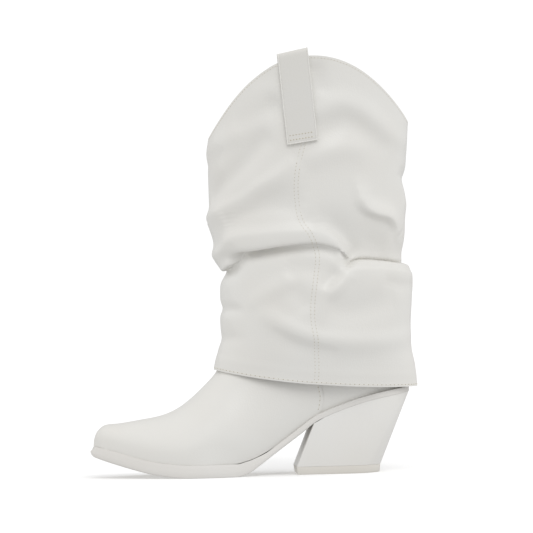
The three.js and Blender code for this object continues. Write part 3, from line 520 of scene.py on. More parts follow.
def sleeve_height(turn, v):
    """Height of a row of the sleeve: level with the hem below, rising to the rim above."""
    hem = hem_height(turn)
    low = mix(hem, LEVEL_Z, v / LEVEL_SHARE)
    high = mix(LEVEL_Z, rim_height(turn), (v - LEVEL_SHARE) / (1 - LEVEL_SHARE))
    return np.where(v < LEVEL_SHARE, low, high)


def sleeve_points():
    shares = [0.0]
    for (start, _), (stop, steps) in zip(SLEEVE_ROWS, SLEEVE_ROWS[1:]):
        shares += [mix(start, stop, (k + 1) / steps) for k in range(steps)]
    turn = np.linspace(0, 2 * math.pi, SLEEVE_COLUMNS, endpoint=False)
    turn_at, v = np.meshgrid(turn, np.array(shares))
    height = sleeve_height(turn_at, v)
    flat_turn, flat_z = turn_at.ravel(), height.ravel()
    round_at = round_of(flat_turn)
    outward = np.zeros_like(flat_z)
    upward = np.zeros_like(flat_z)
    for crease in CREASES:
        more_out, more_up = crease_field(round_at, flat_z, crease)
        outward += more_out
        upward += more_up
    x, y, out_x, out_y = sleeve_base(flat_turn, flat_z)
    points = np.stack([x + out_x * outward, y + out_y * outward, flat_z + upward], axis=1)
    return points.reshape(len(shares), SLEEVE_COLUMNS, 3)


def soften(grid, passes):
    """Evens out a closed band of points, its two edges kept."""
    for _ in range(passes):
        inner = grid[1:-1]
        average = (grid[:-2] + grid[2:] + np.roll(inner, 1, axis=1) + np.roll(inner, -1, axis=1)) / 4
        grid = np.concatenate([grid[:1], mix(inner, average, 0.5), grid[-1:]])
    return grid


# Making meshes
def make_mesh(name, points, faces, smooth_angle=None):
    mesh = bpy.data.meshes.new(name)
    mesh.from_pydata([tuple(p) for p in np.asarray(points) * MM], [], [tuple(f) for f in faces])
    mesh.update()
    piece = bpy.data.objects.new(name, mesh)
    bpy.context.scene.collection.objects.link(piece)
    if smooth_angle is not None:
        shade(piece, smooth_angle)
    return piece


def select_only(piece):
    bpy.ops.object.select_all(action="DESELECT")
    piece.select_set(True)
    bpy.context.view_layer.objects.active = piece


def shade(piece, degrees):
    select_only(piece)
    bpy.ops.object.shade_smooth_by_angle(angle=math.radians(degrees))


def grid_faces(rows, columns, closed):
    faces = []
    last = columns if closed else columns - 1
    for i in range(rows - 1):
        for j in range(last):
            k = (j + 1) % columns
            faces.append((i * columns + j, i * columns + k, (i + 1) * columns + k, (i + 1) * columns + j))
    return faces


def tidy_mesh(piece, outwards=True):
    select_only(piece)
    bpy.ops.object.mode_set(mode="EDIT")
    bpy.ops.mesh.select_all(action="SELECT")
    bpy.ops.mesh.remove_doubles(threshold=0.02 * MM)
    if outwards:
        bpy.ops.mesh.normals_make_consistent(inside=False)
    bpy.ops.object.mode_set(mode="OBJECT")


def add_wall(piece, thickness, offset=-1.0, even=True):
    wall = piece.modifiers.new("wall", "SOLIDIFY")
    wall.thickness = thickness * MM
    wall.offset = offset
    wall.use_even_offset = even
    wall.use_quality_normals = True
    select_only(piece)
    bpy.ops.object.modifier_apply(modifier="wall")


def round_edges(piece, width, segments, degrees=35):
    bevel = piece.modifiers.new("round", "BEVEL")
    bevel.width = width * MM
    bevel.segments = segments
    bevel.limit_method = "ANGLE"
    bevel.angle_limit = math.radians(degrees)
    bevel.harden_normals = False
    select_only(piece)
    bpy.ops.object.modifier_apply(modifier="round")


def node_copy(node, name):
    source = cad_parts[node]
    piece = source.copy()
    piece.data = source.data.copy()
    piece.name = name
    piece.data.name = name
    piece.parent = None
    piece.matrix_world = Matrix.Identity(4)
    piece.data.materials.clear()
    bpy.context.scene.collection.objects.link(piece)
    tidy_mesh(piece, outwards=False)
    return piece


def finish_piece(piece, slot, material, *nodes):
    piece.data.materials.clear()
    piece.data.materials.append(material)
    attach(piece, "root")
    if nodes:
        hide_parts(*nodes)


# Finishes
def new_group(name, inputs, outputs):
    group = bpy.data.node_groups.new(name, "ShaderNodeTree")
    for label, kind, value in inputs:
        socket = group.interface.new_socket(label, in_out="INPUT", socket_type=kind)
        if value is not None:
            socket.default_value = value
    for label, kind in outputs:
        group.interface.new_socket(label, in_out="OUTPUT", socket_type=kind)
    start = group.nodes.new("NodeGroupInput")
    end = group.nodes.new("NodeGroupOutput")
    return group, start, end


def grain_group():
    """Fine leather grain: a height for bump and a mask of its hollows."""
    group, start, end = new_group(
        "leather_grain",
        [("Vector", "NodeSocketVector", None), ("Size", "NodeSocketFloat", 1000.0)],
        [("Height", "NodeSocketFloat"), ("Hollows", "NodeSocketFloat")])
    nodes, links = group.nodes, group.links
    cells = nodes.new("ShaderNodeTexVoronoi")
    cells.feature = "SMOOTH_F1"
    cells.inputs["Smoothness"].default_value = 0.6
    noise = nodes.new("ShaderNodeTexNoise")
    noise.inputs["Detail"].default_value = 3
    coarse = nodes.new("ShaderNodeMath")
    coarse.operation = "MULTIPLY"
    coarse.inputs[1].default_value = 0.35
    total = nodes.new("ShaderNodeMath")
    total.operation = "ADD"
    hollows = nodes.new("ShaderNodeMapRange")
    hollows.inputs["From Min"].default_value = 0.25
    hollows.inputs["From Max"].default_value = 0.75
    links.new(start.outputs["Vector"], cells.inputs["Vector"])
    links.new(start.outputs["Vector"], noise.inputs["Vector"])
    links.new(start.outputs["Size"], cells.inputs["Scale"])
    links.new(start.outputs["Size"], coarse.inputs[0])
    links.new(coarse.outputs[0], noise.inputs["Scale"])
    links.new(cells.outputs["Distance"], total.inputs[0])
    links.new(noise.outputs["Fac"], total.inputs[1])
    links.new(cells.outputs["Distance"], hollows.inputs["Value"])
    links.new(total.outputs[0], end.inputs["Height"])
    links.new(hollows.outputs["Result"], end.inputs["Hollows"])
    return group


def tone_group():
    """Slow, faint changes of tone over a surface: a mask from 0 to 1."""
    group, start, end = new_group(
        "slow_tone",
        [("Vector", "NodeSocketVector", None), ("Size", "NodeSocketFloat", 14.0)],
        [("Mask", "NodeSocketFloat")])
    nodes, links = group.nodes, group.links
    noise = nodes.new("ShaderNodeTexNoise")
    noise.inputs["Detail"].default_value = 2
    noise.inputs["Roughness"].default_value = 0.55
    ramp = nodes.new("ShaderNodeMapRange")
    ramp.inputs["From Min"].default_value = 0.35
    ramp.inputs["From Max"].default_value = 0.7
    links.new(start.outputs["Vector"], noise.inputs["Vector"])
    links.new(start.outputs["Size"], noise.inputs["Scale"])
    links.new(noise.outputs["Fac"], ramp.inputs["Value"])
    links.new(ramp.outputs["Result"], end.inputs["Mask"])
    return group


GRAIN = grain_group()
TONE = tone_group()


def finish_material(name, colour, tint, roughness, grain_size, grain_depth, sheen=0.0, specular=0.4):
    material = bpy.data.materials.new(name)
    material.use_nodes = True
    nodes, links = material.node_tree.nodes, material.node_tree.links
    shader = nodes["Principled BSDF"]
    place = nodes.new("ShaderNodeTexCoord")
    grain = nodes.new("ShaderNodeGroup")
    grain.node_tree = GRAIN
    grain.inputs["Size"].default_value = grain_size
    tone = nodes.new("ShaderNodeGroup")
    tone.node_tree = TONE
    blend = nodes.new("ShaderNodeMix")
    blend.data_type = "RGBA"
    blend.inputs[6].default_value = (*colour, 1)
    blend.inputs[7].default_value = (*tint, 1)
    bump = nodes.new("ShaderNodeBump")
    bump.inputs["Strength"].default_value = 1.0
    bump.inputs["Distance"].default_value = grain_depth * MM
    rough = nodes.new("ShaderNodeMapRange")
    rough.inputs["To Min"].default_value = roughness - 0.04
    rough.inputs["To Max"].default_value = roughness + 0.06
    links.new(place.outputs["Object"], grain.inputs["Vector"])
    links.new(place.outputs["Object"], tone.inputs["Vector"])
    links.new(tone.outputs["Mask"], blend.inputs[0])
    links.new(blend.outputs[2], shader.inputs["Base Color"])
    links.new(grain.outputs["Hollows"], rough.inputs["Value"])
    links.new(rough.outputs["Result"], shader.inputs["Roughness"])
    links.new(grain.outputs["Height"], bump.inputs["Height"])
    links.new(bump.outputs["Normal"], shader.inputs["Normal"])
    shader.inputs["Specular IOR Level"].default_value = specular
    shader.inputs["Sheen Weight"].default_value = sheen
    return material


def rgb(red, green, blue):
    """A colour as seen on a screen, as the light values the shader needs."""
    return tuple(((c / 255 + 0.055) / 1.055) ** 2.4 for c in (red, green, blue))


LEATHER = finish_material("white_leather", rgb(229, 228, 224), rgb(227, 225, 220), 0.36, 900, 0.05)
STRAP_LEATHER = finish_material("strap_leather", rgb(220, 219, 216), rgb(219, 217, 211), 0.5, 900, 0.05)
LINING = finish_material("lining", rgb(226, 221, 210), rgb(220, 214, 202), 0.85, 1300, 0.08, specular=0.15)
# The heel's leather: a lighter copy of the white leather, painted light against the shade that the sleeve casts on the
# heel
HEEL_LEATHER_LIGHTENED = finish_material("heel_cover", rgb(234, 233, 230), rgb(232, 230, 225), 0.42, 900, 0.03)
SOLE = finish_material("sole_rubber", rgb(224, 222, 218), rgb(222, 219, 214), 0.55, 700, 0.03)
LIFT = finish_material("lift_rubber", rgb(222, 219, 212), rgb(219, 215, 207), 0.6, 700, 0.05)
THREAD = finish_material("thread", rgb(229, 227, 220), rgb(227, 224, 214), 0.7, 3000, 0.05, specular=0.2)
# Needle holes: small brownish-grey discs on the surface, painted shade of the holes
NEEDLE_HOLE_SHADE = finish_material("painted_hole_shade", rgb(186, 178, 158), rgb(178, 169, 147), 0.8, 900, 0.02, specular=0.1)


# The sleeve
sleeve_grid = soften(sleeve_points(), 1)
rows, columns = sleeve_grid.shape[:2]
sleeve = make_mesh("slouch_sleeve", sleeve_grid.reshape(-1, 3), grid_faces(rows, columns, True))
tidy_mesh(sleeve)
add_wall(sleeve, SLEEVE_THICK, even=False)
shade(sleeve, 50)
finish_piece(sleeve, "upper_leather", LEATHER, "sleeve")


# The upper: counter and shaft in one skin, and the vamp lapped over it
UPPER_COLUMNS = 121


def upper_grid(offset):
    """The upper's skin, its sections eased into each other."""
    grid = refine(last_rings(offset, UPPER_COLUMNS), 4)
    nose = np.broadcast_to(grid[0].mean(axis=0) + np.array([-0.3, 0, -3.2]), grid[0].shape)
    grid = np.concatenate([[nose], grid])
    first = 4 * 5 + 1
    for _ in range(14):
        inner = grid[first:-1]
        average = (grid[first - 1:-2] + grid[first + 1:]) / 2
        grid = np.concatenate([grid[:first], mix(inner, average, 0.5), grid[-1:]])
    return grid


def sink_feather(grid, depth):
    """Carries both lower edges of the foot a little way down into the sole."""
    foot_rows = 4 * (len(TOE_PLACES) + len(INSTEP) - 1) + 2
    down = np.zeros_like(grid[:foot_rows, 0])
    down[:, 2] = depth
    head = grid[:foot_rows, :1] - down[:, None]
    tail = grid[:foot_rows, -1:] - down[:, None]
    rest = grid[foot_rows:]
    foot = np.concatenate([head, grid[:foot_rows], tail], axis=1)
    rest = np.concatenate([rest[:, :1], rest, rest[:, -1:]], axis=1)
    return np.concatenate([foot, rest])


counter_grid = sink_feather(upper_grid(-LAP_STEP), 1.0)
rows, columns = counter_grid.shape[:2]
counter = make_mesh("counter_and_shaft", counter_grid.reshape(-1, 3), grid_faces(rows, columns, False))
tidy_mesh(counter)
add_wall(counter, 1.6)
shade(counter, 40)
finish_piece(counter, "upper_leather", LEATHER, "upper")


LAP_SHIFT = 6.3


def lap_outline():
    points = [(HEEL_BACK - share * SOLE_LENGTH - LAP_SHIFT, rise) for share, rise in LAP]
    keys = np.array([(x, 0, float(sole_top_at(x)) + rise * ANKLE_HEIGHT) for x, rise in points])
    return refine(keys[:, None, :], 10)[:, 0, [0, 2]]


def lap_x_at(z, lap):
    order = np.argsort(lap[:, 1])
    return np.interp(z, lap[order, 1], lap[order, 0])


def vamp_points():
    """The front of the upper, its last row on the lap line."""
    grid = upper_grid(0.0)
    lap = lap_outline()
    fine_steps = 8
    rows_out = 110
    result = np.zeros((rows_out, grid.shape[1], 3))
    for j in range(grid.shape[1]):
        line = grid[:, j]
        index = np.arange(len(line))
        fine = np.linspace(0, len(line) - 1, (len(line) - 1) * fine_steps + 1)
        path = np.stack([np.interp(fine, index, line[:, axis]) for axis in range(3)], axis=1)
        behind = path[:, 0] > lap_x_at(path[:, 2], lap)
        behind[:40] = False
        high = path[:, 2] > lap[-1, 1]
        stop = np.argmax(behind | high)
        end = fine[stop]
        at = mix(0, end, np.linspace(0, 1, rows_out))
        result[:, j] = np.stack([np.interp(at, index, line[:, axis]) for axis in range(3)], axis=1)
    return result


vamp_grid = vamp_points()
down = np.zeros((vamp_grid.shape[0], 1, 3))
down[:, :, 2] = 1.0
vamp_grid = np.concatenate([vamp_grid[:, :1] - down, vamp_grid, vamp_grid[:, -1:] - down], axis=1)
rows, columns = vamp_grid.shape[:2]
vamp = make_mesh("vamp", vamp_grid.reshape(-1, 3), grid_faces(rows, columns, False))
tidy_mesh(vamp)
add_wall(vamp, 1.1)
round_edges(vamp, 0.25, 2, 50)
shade(vamp, 40)
finish_piece(vamp, "upper_leather", LEATHER, "upper")


# The sole, with a bevelled top edge and a side that draws in below
def outsole_points():
    stations = 150
    crowd = 0.75
    even = np.linspace(0, 1, stations)
    eased = mix(even, 0.5 - 0.5 * np.cos(math.pi * even), crowd)
    xs = mix(HEEL_BACK - 0.1, TOE_X + 0.1, eased)
    rings = []
    for x in xs:
        under, top = float(underside_at(x)), float(sole_top_at(x))
        middle = mix(under, top, 0.45)
        tip = float(round_end(x - TOE_X, 3.4, 2))
        top, under = mix(middle, top, tip), mix(middle, under, tip)
        half = float(sole_half_at(x))
        limit = half / 3
        tall = top - under
        undercut = min(1.4 * tall / FORE_THICK, limit)
        turned = min(0.9, limit)
        seat = float(smooth((x + 26) / 10))
        groove = min(0.9, tall / 4) * mix(1, 0.25, seat)
        tip_near = float(smooth(1 - (x - TOE_X) / 14))
        slope_foot = mix(under, top, 0.36)
        flare = mix(0.95, 0.25, seat) * min(1, limit)
        sunk = mix(1, 0.05, seat)
        profile = [
            (half - 2.6 * min(1, limit), top - groove), (half - 1.78 * min(1, limit), top - groove),
            (half - 1.4 * min(1, limit), top - 0.08), (half - 1.1 * min(1, limit), top - 0.1),
            (half - flare, top - 0.42), (half - 0.55 * flare, mix(under, top, 0.72)),
            (half - 0.2 * flare, mix(under, top, 0.52)), (half, mix(under, top, 0.36)),
            (half - 0.12 * undercut * sunk, under + min(1.3, tall / 3)),
            (half - 0.5 * turned * sunk, under + 0.5 * min(0.9, tall / 3)),
            (half - 1.1 * turned * sunk, under + 0.13 * min(0.9, tall / 3)),
            (half - (1.6 * turned) * sunk, under),
        ]
        lean = float(lean_at(x))
        back = [1.7 * tip_near * max((z - slope_foot) / (top - slope_foot), 0) for _, z in profile]
        near = [(x + set_back, lean - out, z) for (out, z), set_back in zip(profile, back)]
        far = [(x, 2 * lean - y, z) for x, y, z in reversed(near)]
        rings.append(near + far)
    return np.array(rings)


def capped_faces(rows, columns):
    faces = grid_faces(rows, columns, True)
    faces.append(tuple(range(columns)))
    faces.append(tuple((rows - 1) * columns + j for j in range(columns)))
    return faces


sole_grid = outsole_points()
rows, columns = sole_grid.shape[:2]
outsole = make_mesh("rising_sole", sole_grid.reshape(-1, 3), capped_faces(rows, columns))
tidy_mesh(outsole)
shade(outsole, 38)
finish_piece(outsole, "sole_rubber", SOLE, "outsole")


# Heel, lift and insole keep the solids' shape, heel and lift with rounded edges
def close_joint(piece, up, down, flare=1.0):
    """Carries a piece's top and foot out to its neighbours, across the solids' clearance."""
    select_only(piece)
    heights = [v.co.z for v in piece.data.vertices]
    low = min(heights)
    for vertex in piece.data.vertices:
        if vertex.co.z < low + 0.5 * MM:
            vertex.co.z -= down * MM
        elif vertex.co.z > HEEL_HEIGHT * 0.55 * MM or piece.name == "heel_lift":
            vertex.co.z += up * MM
            vertex.co.y *= flare


heel = node_copy("heel", "block_heel")
close_joint(heel, 0.28, 0.28, 1.018)
round_edges(heel, 0.3, 2, 40)
shade(heel, 40)
# The heel is finished lighter than the boot's leather: painted light against the sleeve's shade
finish_piece(heel, "heel_cover", HEEL_LEATHER_LIGHTENED, "heel")

lift = node_copy("top_lift", "heel_lift")
round_edges(lift, 0.35, 2, 50)
shade(lift, 40)
finish_piece(lift, "lift_rubber", LIFT, "top_lift")

insole = node_copy("insole", "lining_sock")
shade(insole, 40)
finish_piece(insole, "lining", LINING, "insole")


# Pull straps
STRAP_WIDTH = 23.4
STRAP_THICK = 2.2
STRAP_DROP = 66.0
STRAP_INNER_DROP = 46.0
STRAP_RISE = 5.4
STRAP_TILT = 0.2
STRAP_LEAN = math.radians(4.9)
STRAP_GAP = 6.4
STRAP_SLACK = 7.5
STRAP_STACK = 3.5
FIT = 0.3


def strap_strip(facing, strap_x, across, depth):
    """One line along a strap, over the rim, at a share across its width and a depth in its thickness."""
    def turn_at(x):
        share = (-17.3 - x) / 78.8
        return facing * math.acos(float(signed_power(share, SQUARE / 2)))

    top_x = strap_x + across * STRAP_WIDTH * math.cos(STRAP_LEAN)
    rim_z = float(rim_height(turn_at(top_x)))
    crown_z = float(rim_height(turn_at(strap_x))) + STRAP_RISE + across * STRAP_WIDTH * STRAP_TILT

    def x_at(z):
        return top_x - (z - rim_z) * math.tan(STRAP_LEAN)

    def wall_y(z):
        return abs(float(sleeve_base(turn_at(x_at(z)), z)[1]))

    foot_z = float(rim_height(turn_at(strap_x))) - STRAP_DROP + across * STRAP_WIDTH * 0.14
    outer = [(wall_y(z) + FIT + depth, z) for z in np.linspace(foot_z, rim_z, 20, endpoint=False)]
    outer_y = wall_y(rim_z) + FIT + depth
    inner_y = wall_y(rim_z) - STRAP_STACK - FIT - depth
    spread = (STRAP_GAP - STRAP_STACK - 2 * FIT) / 2
    crown = crown_z - rim_z - (STRAP_THICK - depth)
    arch = []
    for k in range(25):
        turn = math.pi * k / 24
        bulge = spread * math.sin(turn) ** 2 * math.cos(turn) / max(abs(math.cos(turn)), 0.25)
        y = mix(inner_y, outer_y, (1 + math.cos(turn)) / 2) + bulge
        arch.append((y, rim_z + crown * math.sin(turn) ** 0.7))
    inner = []
    for k in range(1, 21):
        down_share = k / 20
        slack = STRAP_SLACK * math.sin(math.pi * down_share)
        lean = STRAP_INNER_DROP * down_share * 0.07
        inner.append((inner_y - lean - slack, rim_z - STRAP_INNER_DROP * down_share))
    return [(x_at(z), -facing * y, z) for y, z in outer + arch + inner]


def strap_piece(name, facing, strap_x):
    edge = 0.34
    profile = []
    across_steps = 12
    for k in range(across_steps + 1):
        across = (k / across_steps - 0.5)
        profile.append((across, STRAP_THICK if 0 < k < across_steps else STRAP_THICK - edge))
    profile += [(p[0], 0.0 if 0 < i < across_steps else edge) for i, p in enumerate(reversed(profile))]
    strips = [strap_strip(facing, strap_x, across, depth) for across, depth in profile]
    grid = np.array(strips).transpose(1, 0, 2)
    rows, columns = grid.shape[:2]
    piece = make_mesh(name, grid.reshape(-1, 3), capped_faces(rows, columns))
    tidy_mesh(piece)
    round_edges(piece, 0.3, 2, 50)
    shade(piece, 45)
    return piece


strap_outer = strap_piece("outer_pull_strap", 1, -31.2)
finish_piece(strap_outer, "upper_leather", STRAP_LEATHER, "pull_strap_lateral")
strap_inner = strap_piece("inner_pull_strap", -1, -24.0)
finish_piece(strap_inner, "upper_leather", STRAP_LEATHER, "pull_strap_medial")


def strap_rim(name, facing, strap_x):
    """The strap's turned edges: a fine bead along each side and across its lower end, in the sleeve's leather, lighter
    than the strap: a painted highlight along the edges.
    """
    bead, sides = 0.55, 8
    lines = []
    for across in (-0.485, 0.485):
        lines.append(np.array(strap_strip(facing, strap_x, across, STRAP_THICK - 0.25)))
    foot = [strap_strip(facing, strap_x, float(a), STRAP_THICK - 0.25)[0] for a in np.linspace(-0.485, 0.485, 13)]
    lines.append(np.array(foot) + np.array([0, 0, 0.3]))
    points, faces = [], []
    for line in lines:
        run = np.gradient(line, axis=0)
        run /= np.linalg.norm(run, axis=1)[:, None]
        spread = np.array([1.0, 0, 0]) if line is not lines[-1] else np.array([0, 0, 1.0])
        first = np.cross(run, spread)
        first /= np.linalg.norm(first, axis=1)[:, None]
        second = np.cross(run, first)
        base = len(points)
        for k in range(len(line)):
            for m in range(sides):
                turn = 2 * math.pi * m / sides
                points.append(line[k] + bead * (first[k] * math.cos(turn) + second[k] * math.sin(turn)))
        faces += [tuple(base + i for i in face) for face in capped_faces(len(line), sides)]
    piece = make_mesh(name, np.array(points), faces)
    tidy_mesh(piece)
    shade(piece, 60)
    finish_piece(piece, "upper_leather", LEATHER)
    return piece


# Edge beads lighter than the strap: real turned edges, their lighter colour a painted highlight
strap_rim("outer_strap_edge", 1, -31.2)
strap_rim("inner_strap_edge", -1, -24.0)


# Stitching: one thread and one needle hole, the hole a brownish-grey disc of painted shade, copied along each row
def thread_shape(length, width, depth):
    bpy.ops.object.select_all(action="DESELECT")
    bpy.ops.mesh.primitive_uv_sphere_add(segments=8, ring_count=6, radius=0.5, location=(0, 0, 0),
                                         rotation=(0, math.pi / 2, 0))
    shape = bpy.context.active_object
    bpy.ops.object.transform_apply(location=True, rotation=True, scale=True)
    points = np.array([v.co[:] for v in shape.data.vertices])
    faces = [tuple(p.vertices) for p in shape.data.polygons]
    bpy.data.objects.remove(shape)
    points[:, 0] = np.clip(points[:, 0] * 1.5, -0.5, 0.5)
    return points * np.array([length, width, depth]), faces


def stitch_rows(name, slot, material, shape, places):
    """Copies of one small shape at each place: a point, the row's direction and the way out."""
    points, faces = shape
    all_points, all_faces = [], []
    for centre, run, out in places:
        out = out / np.linalg.norm(out)
        run = run - out * np.dot(run, out)
        run /= np.linalg.norm(run)
        aside = np.cross(out, run)
        base = len(all_points) * len(points)
        all_points.append(centre + points[:, :1] * run + points[:, 1:2] * aside + points[:, 2:3] * out)
        all_faces += [tuple(base + i for i in face) for face in faces]
    piece = make_mesh(name, np.concatenate(all_points), all_faces, 60)
    finish_piece(piece, slot, material)
    return piece


class Surface:
    """Finds the point of a finished grid nearest to a place seen from the side."""

    def __init__(self, grid, closed):
        along_rows = np.gradient(grid, axis=0)
        if closed:
            along_columns = (np.roll(grid, -1, axis=1) - np.roll(grid, 1, axis=1)) / 2
        else:
            along_columns = np.gradient(grid, axis=1)
        normal = np.cross(along_columns, along_rows)
        normal /= np.maximum(np.linalg.norm(normal, axis=2), 1e-9)[:, :, None]
        middle = grid.reshape(-1, 3).mean(axis=0)
        outwards = ((grid - middle)[:, :, :2] * normal[:, :, :2]).sum(axis=2)
        if np.median(outwards) < 0:
            normal = -normal
        self.points = grid.reshape(-1, 3)
        self.normals = normal.reshape(-1, 3)
        self.trees = {}
        for facing in (1, -1):
            chosen = np.where(-facing * self.normals[:, 1] > 0.12)[0]
            tree = KDTree(len(chosen))
            for k in chosen:
                tree.insert((self.points[k, 0], 0, self.points[k, 2]), int(k))
            tree.balance()
            self.trees[facing] = tree

    def at(self, x, z, facing):
        _, k, _ = self.trees[facing].find((x, 0, z))
        point, normal = self.points[k], self.normals[k]
        y = point[1] - (normal[0] * (x - point[0]) + normal[2] * (z - point[2])) / normal[1]
        return np.array([x, y, z]), normal


def spaced(path, pitch, start=0.5):
    """Places at an even pitch along a path of points, and the direction there."""
    path = np.asarray(path, float)
    run = np.concatenate([[0], np.cumsum(np.linalg.norm(np.diff(path, axis=0), axis=1))])
    at = np.arange(pitch * start, run[-1] - pitch * 0.3, pitch)
    centres = np.stack([np.interp(at, run, path[:, axis]) for axis in range(3)], axis=1)
    ahead = np.stack([np.interp(at + 0.5, run, path[:, axis]) for axis in range(3)], axis=1)
    back = np.stack([np.interp(at - 0.5, run, path[:, axis]) for axis in range(3)], axis=1)
    return centres, ahead - back


sleeve_surface = Surface(sleeve_grid, True)
THREAD_SHAPE = thread_shape(2.5, 0.75, 0.5)
HOLE_SHAPE = thread_shape(0.9, 0.7, 0.34)
FINE_THREAD = thread_shape(1.5, 0.6, 0.4)
FINE_HOLE = thread_shape(0.6, 0.6, 0.3)


def seam_line(facing):
    """The side seam as read from the side, from the hem up to the strap."""
    line = [(-14.7, 73.5), (-14.1, 82.4), (-14.2, 94.1), (-14.7, 105.8), (-16.4, 117.5), (-17, 125.3),
            (-16.4, 137), (-15.4, 144.8), (-13.6, 156.4), (-12.2, 166.5), (-12.4, 174.3), (-14.6, 181.4),
            (-18.3, 189.3), (-22.8, 195.6), (-25.8, 203.5), (-26.8, 211.3), (-27.7, 223), (-27, 234.7),
            (-24.8, 246.3), (-21.4, 257.9), (-19, 264)]
    keys = np.array([(x + NEAR_SHIFT, 0, z) for x, z in line])
    return refine(keys[:, None, :], 6)[:, 0, :]


def seam_places(facing, aside, pitch, start):
    plan = seam_line(facing)
    run = np.gradient(plan, axis=0)
    run /= np.linalg.norm(run, axis=1)[:, None]
    shifted = plan + aside * np.stack([run[:, 2], np.zeros(len(run)), -run[:, 0]], axis=1)
    path, normals = [], []
    for x, _, z in shifted:
        point, normal = sleeve_surface.at(x, z, facing)
        path.append(point)
        normals.append(normal)
    centres, runs = spaced(path, pitch, start)
    places = []
    for centre, run_at in zip(centres, runs):
        point, normal = sleeve_surface.at(centre[0], centre[2], facing)
        places.append((point, run_at, normal))
    return places


def lowered(places, depth):
    return [(centre - depth * out / np.linalg.norm(out), run, out) for centre, run, out in places]


SEAM_PITCH = 2.8
SEAM_ASIDE = 1.5
seam_threads, seam_holes = [], []
for facing in (1, -1):
    for aside in (-SEAM_ASIDE, SEAM_ASIDE):
        seam_threads += lowered(seam_places(facing, aside, SEAM_PITCH, 1.0), 0.06)
        seam_holes += lowered(seam_places(facing, aside, SEAM_PITCH, 0.5), 0.05)


def edge_places(row, inset, pitch, start):
    """A stitched row that follows the hem or the rim, a little in from the edge."""
    grid = sleeve_grid
    step = 1 if row == 0 else -1
    band = grid[row::step][:12]
    gaps = np.cumsum(np.linalg.norm(np.diff(band, axis=0), axis=2), axis=0)
    path = []
    for j in range(grid.shape[1] + 1):
        k = j % grid.shape[1]
        i = int(np.searchsorted(gaps[:, k], inset))
        before = gaps[i - 1, k] if i else 0
        share = (inset - before) / (gaps[i, k] - before)
        path.append(mix(band[i, k], band[i + 1, k], share))
    centres, runs = spaced(path, pitch, start)
    tree = KDTree(len(sleeve_surface.points))
    for k, point in enumerate(sleeve_surface.points):
        tree.insert(point, k)
    tree.balance()
    return [(c, r, sleeve_surface.normals[tree.find(c)[1]]) for c, r in zip(centres, runs)]


HEM_PITCH = 3.75
hem_threads = lowered(edge_places(0, 1.7, HEM_PITCH, 1.0), 0.06)
hem_holes = lowered(edge_places(0, 1.7, HEM_PITCH, 0.5), 0.05)
RIM_PITCH = 2.6
rim_threads = lowered(edge_places(-1, 1.9, RIM_PITCH, 1.0), 0.06)
rim_holes = lowered(edge_places(-1, 1.9, RIM_PITCH, 0.5), 0.05)


def strap_places(facing, strap_x, above_end, pitch, start):
    """A row across the strap's outer leg, above its lower end."""
    path = []
    for across in np.linspace(-0.43, 0.43, 15):
        strip = np.array(strap_strip(facing, strap_x, float(across), STRAP_THICK))
        run = np.concatenate([[0], np.cumsum(np.linalg.norm(np.diff(strip, axis=0), axis=1))])
        path.append([np.interp(above_end, run, strip[:, axis]) for axis in range(3)])
    centres, runs = spaced(path, pitch, start)
    out = np.array([0, -facing, 0.0])
    return [(c, r, out) for c, r in zip(centres, runs)]


STRAP_PITCH = 2.4
strap_threads, strap_holes = [], []
for facing, strap_x in ((1, -31.2), (-1, -24.0)):
    for above_end in (3.0, 6.6):
        strap_threads += lowered(strap_places(facing, strap_x, above_end, STRAP_PITCH, 1.0), 0.06)
        strap_holes += lowered(strap_places(facing, strap_x, above_end, STRAP_PITCH, 0.5), 0.0)

vamp_surface = Surface(vamp_grid, False)


def vamp_places(facing, ahead, pitch, start):
    lap = lap_outline()
    visible = lap[(lap[:, 1] > 49) & (lap[:, 1] < 92)]
    path = [vamp_surface.at(x - ahead, z, facing)[0] for x, z in visible]
    centres, runs = spaced(path, pitch, start)
    places = []
    for centre, run_at in zip(centres, runs):
        point, normal = vamp_surface.at(centre[0], centre[2], facing)
        places.append((point, run_at, normal))
    return places


VAMP_PITCH = 3.6
vamp_threads, vamp_holes = [], []
for facing in (1, -1):
    vamp_threads += lowered(vamp_places(facing, 2.4, VAMP_PITCH, 1.0), 0.06)
    vamp_holes += lowered(vamp_places(facing, 2.4, VAMP_PITCH, 0.5), 0.05)

# Each row: threads, and dark discs of painted shade at the needle holes
for label, threads, holes, thread, hole in (
        ("seam", seam_threads, seam_holes, FINE_THREAD, FINE_HOLE),
        ("hem", hem_threads, hem_holes, THREAD_SHAPE, HOLE_SHAPE),
        ("rim", rim_threads, rim_holes, FINE_THREAD, FINE_HOLE),
        ("strap", strap_threads, strap_holes, FINE_THREAD, HOLE_SHAPE),
        ("vamp", vamp_threads, vamp_holes, THREAD_SHAPE, HOLE_SHAPE)):
    stitch_rows(label + "_thread", "upper_leather", THREAD, thread, threads)
    stitch_rows(label + "_painted_hole_shades", "upper_leather", NEEDLE_HOLE_SHADE, hole, holes)


# Floor, light and camera
bpy.ops.object.select_all(action="DESELECT")
bpy.ops.mesh.primitive_plane_add(size=40, location=(0, 0, 0))
floor = bpy.context.active_object
floor.name = "floor"
floor_material = bpy.data.materials.new("floor_white")
floor_material.use_nodes = True
floor_shader = floor_material.node_tree.nodes["Principled BSDF"]
floor_shader.inputs["Base Color"].default_value = (1, 1, 1, 1)
floor_shader.inputs["Emission Color"].default_value = (1, 1, 1, 1)
floor_shader.inputs["Emission Strength"].default_value = 0.1
floor_shader.inputs["Roughness"].default_value = 0.9
floor_shader.inputs["Specular IOR Level"].default_value = 0.1
floor.data.materials.append(floor_material)
floor.visible_diffuse = False
floor.visible_glossy = False

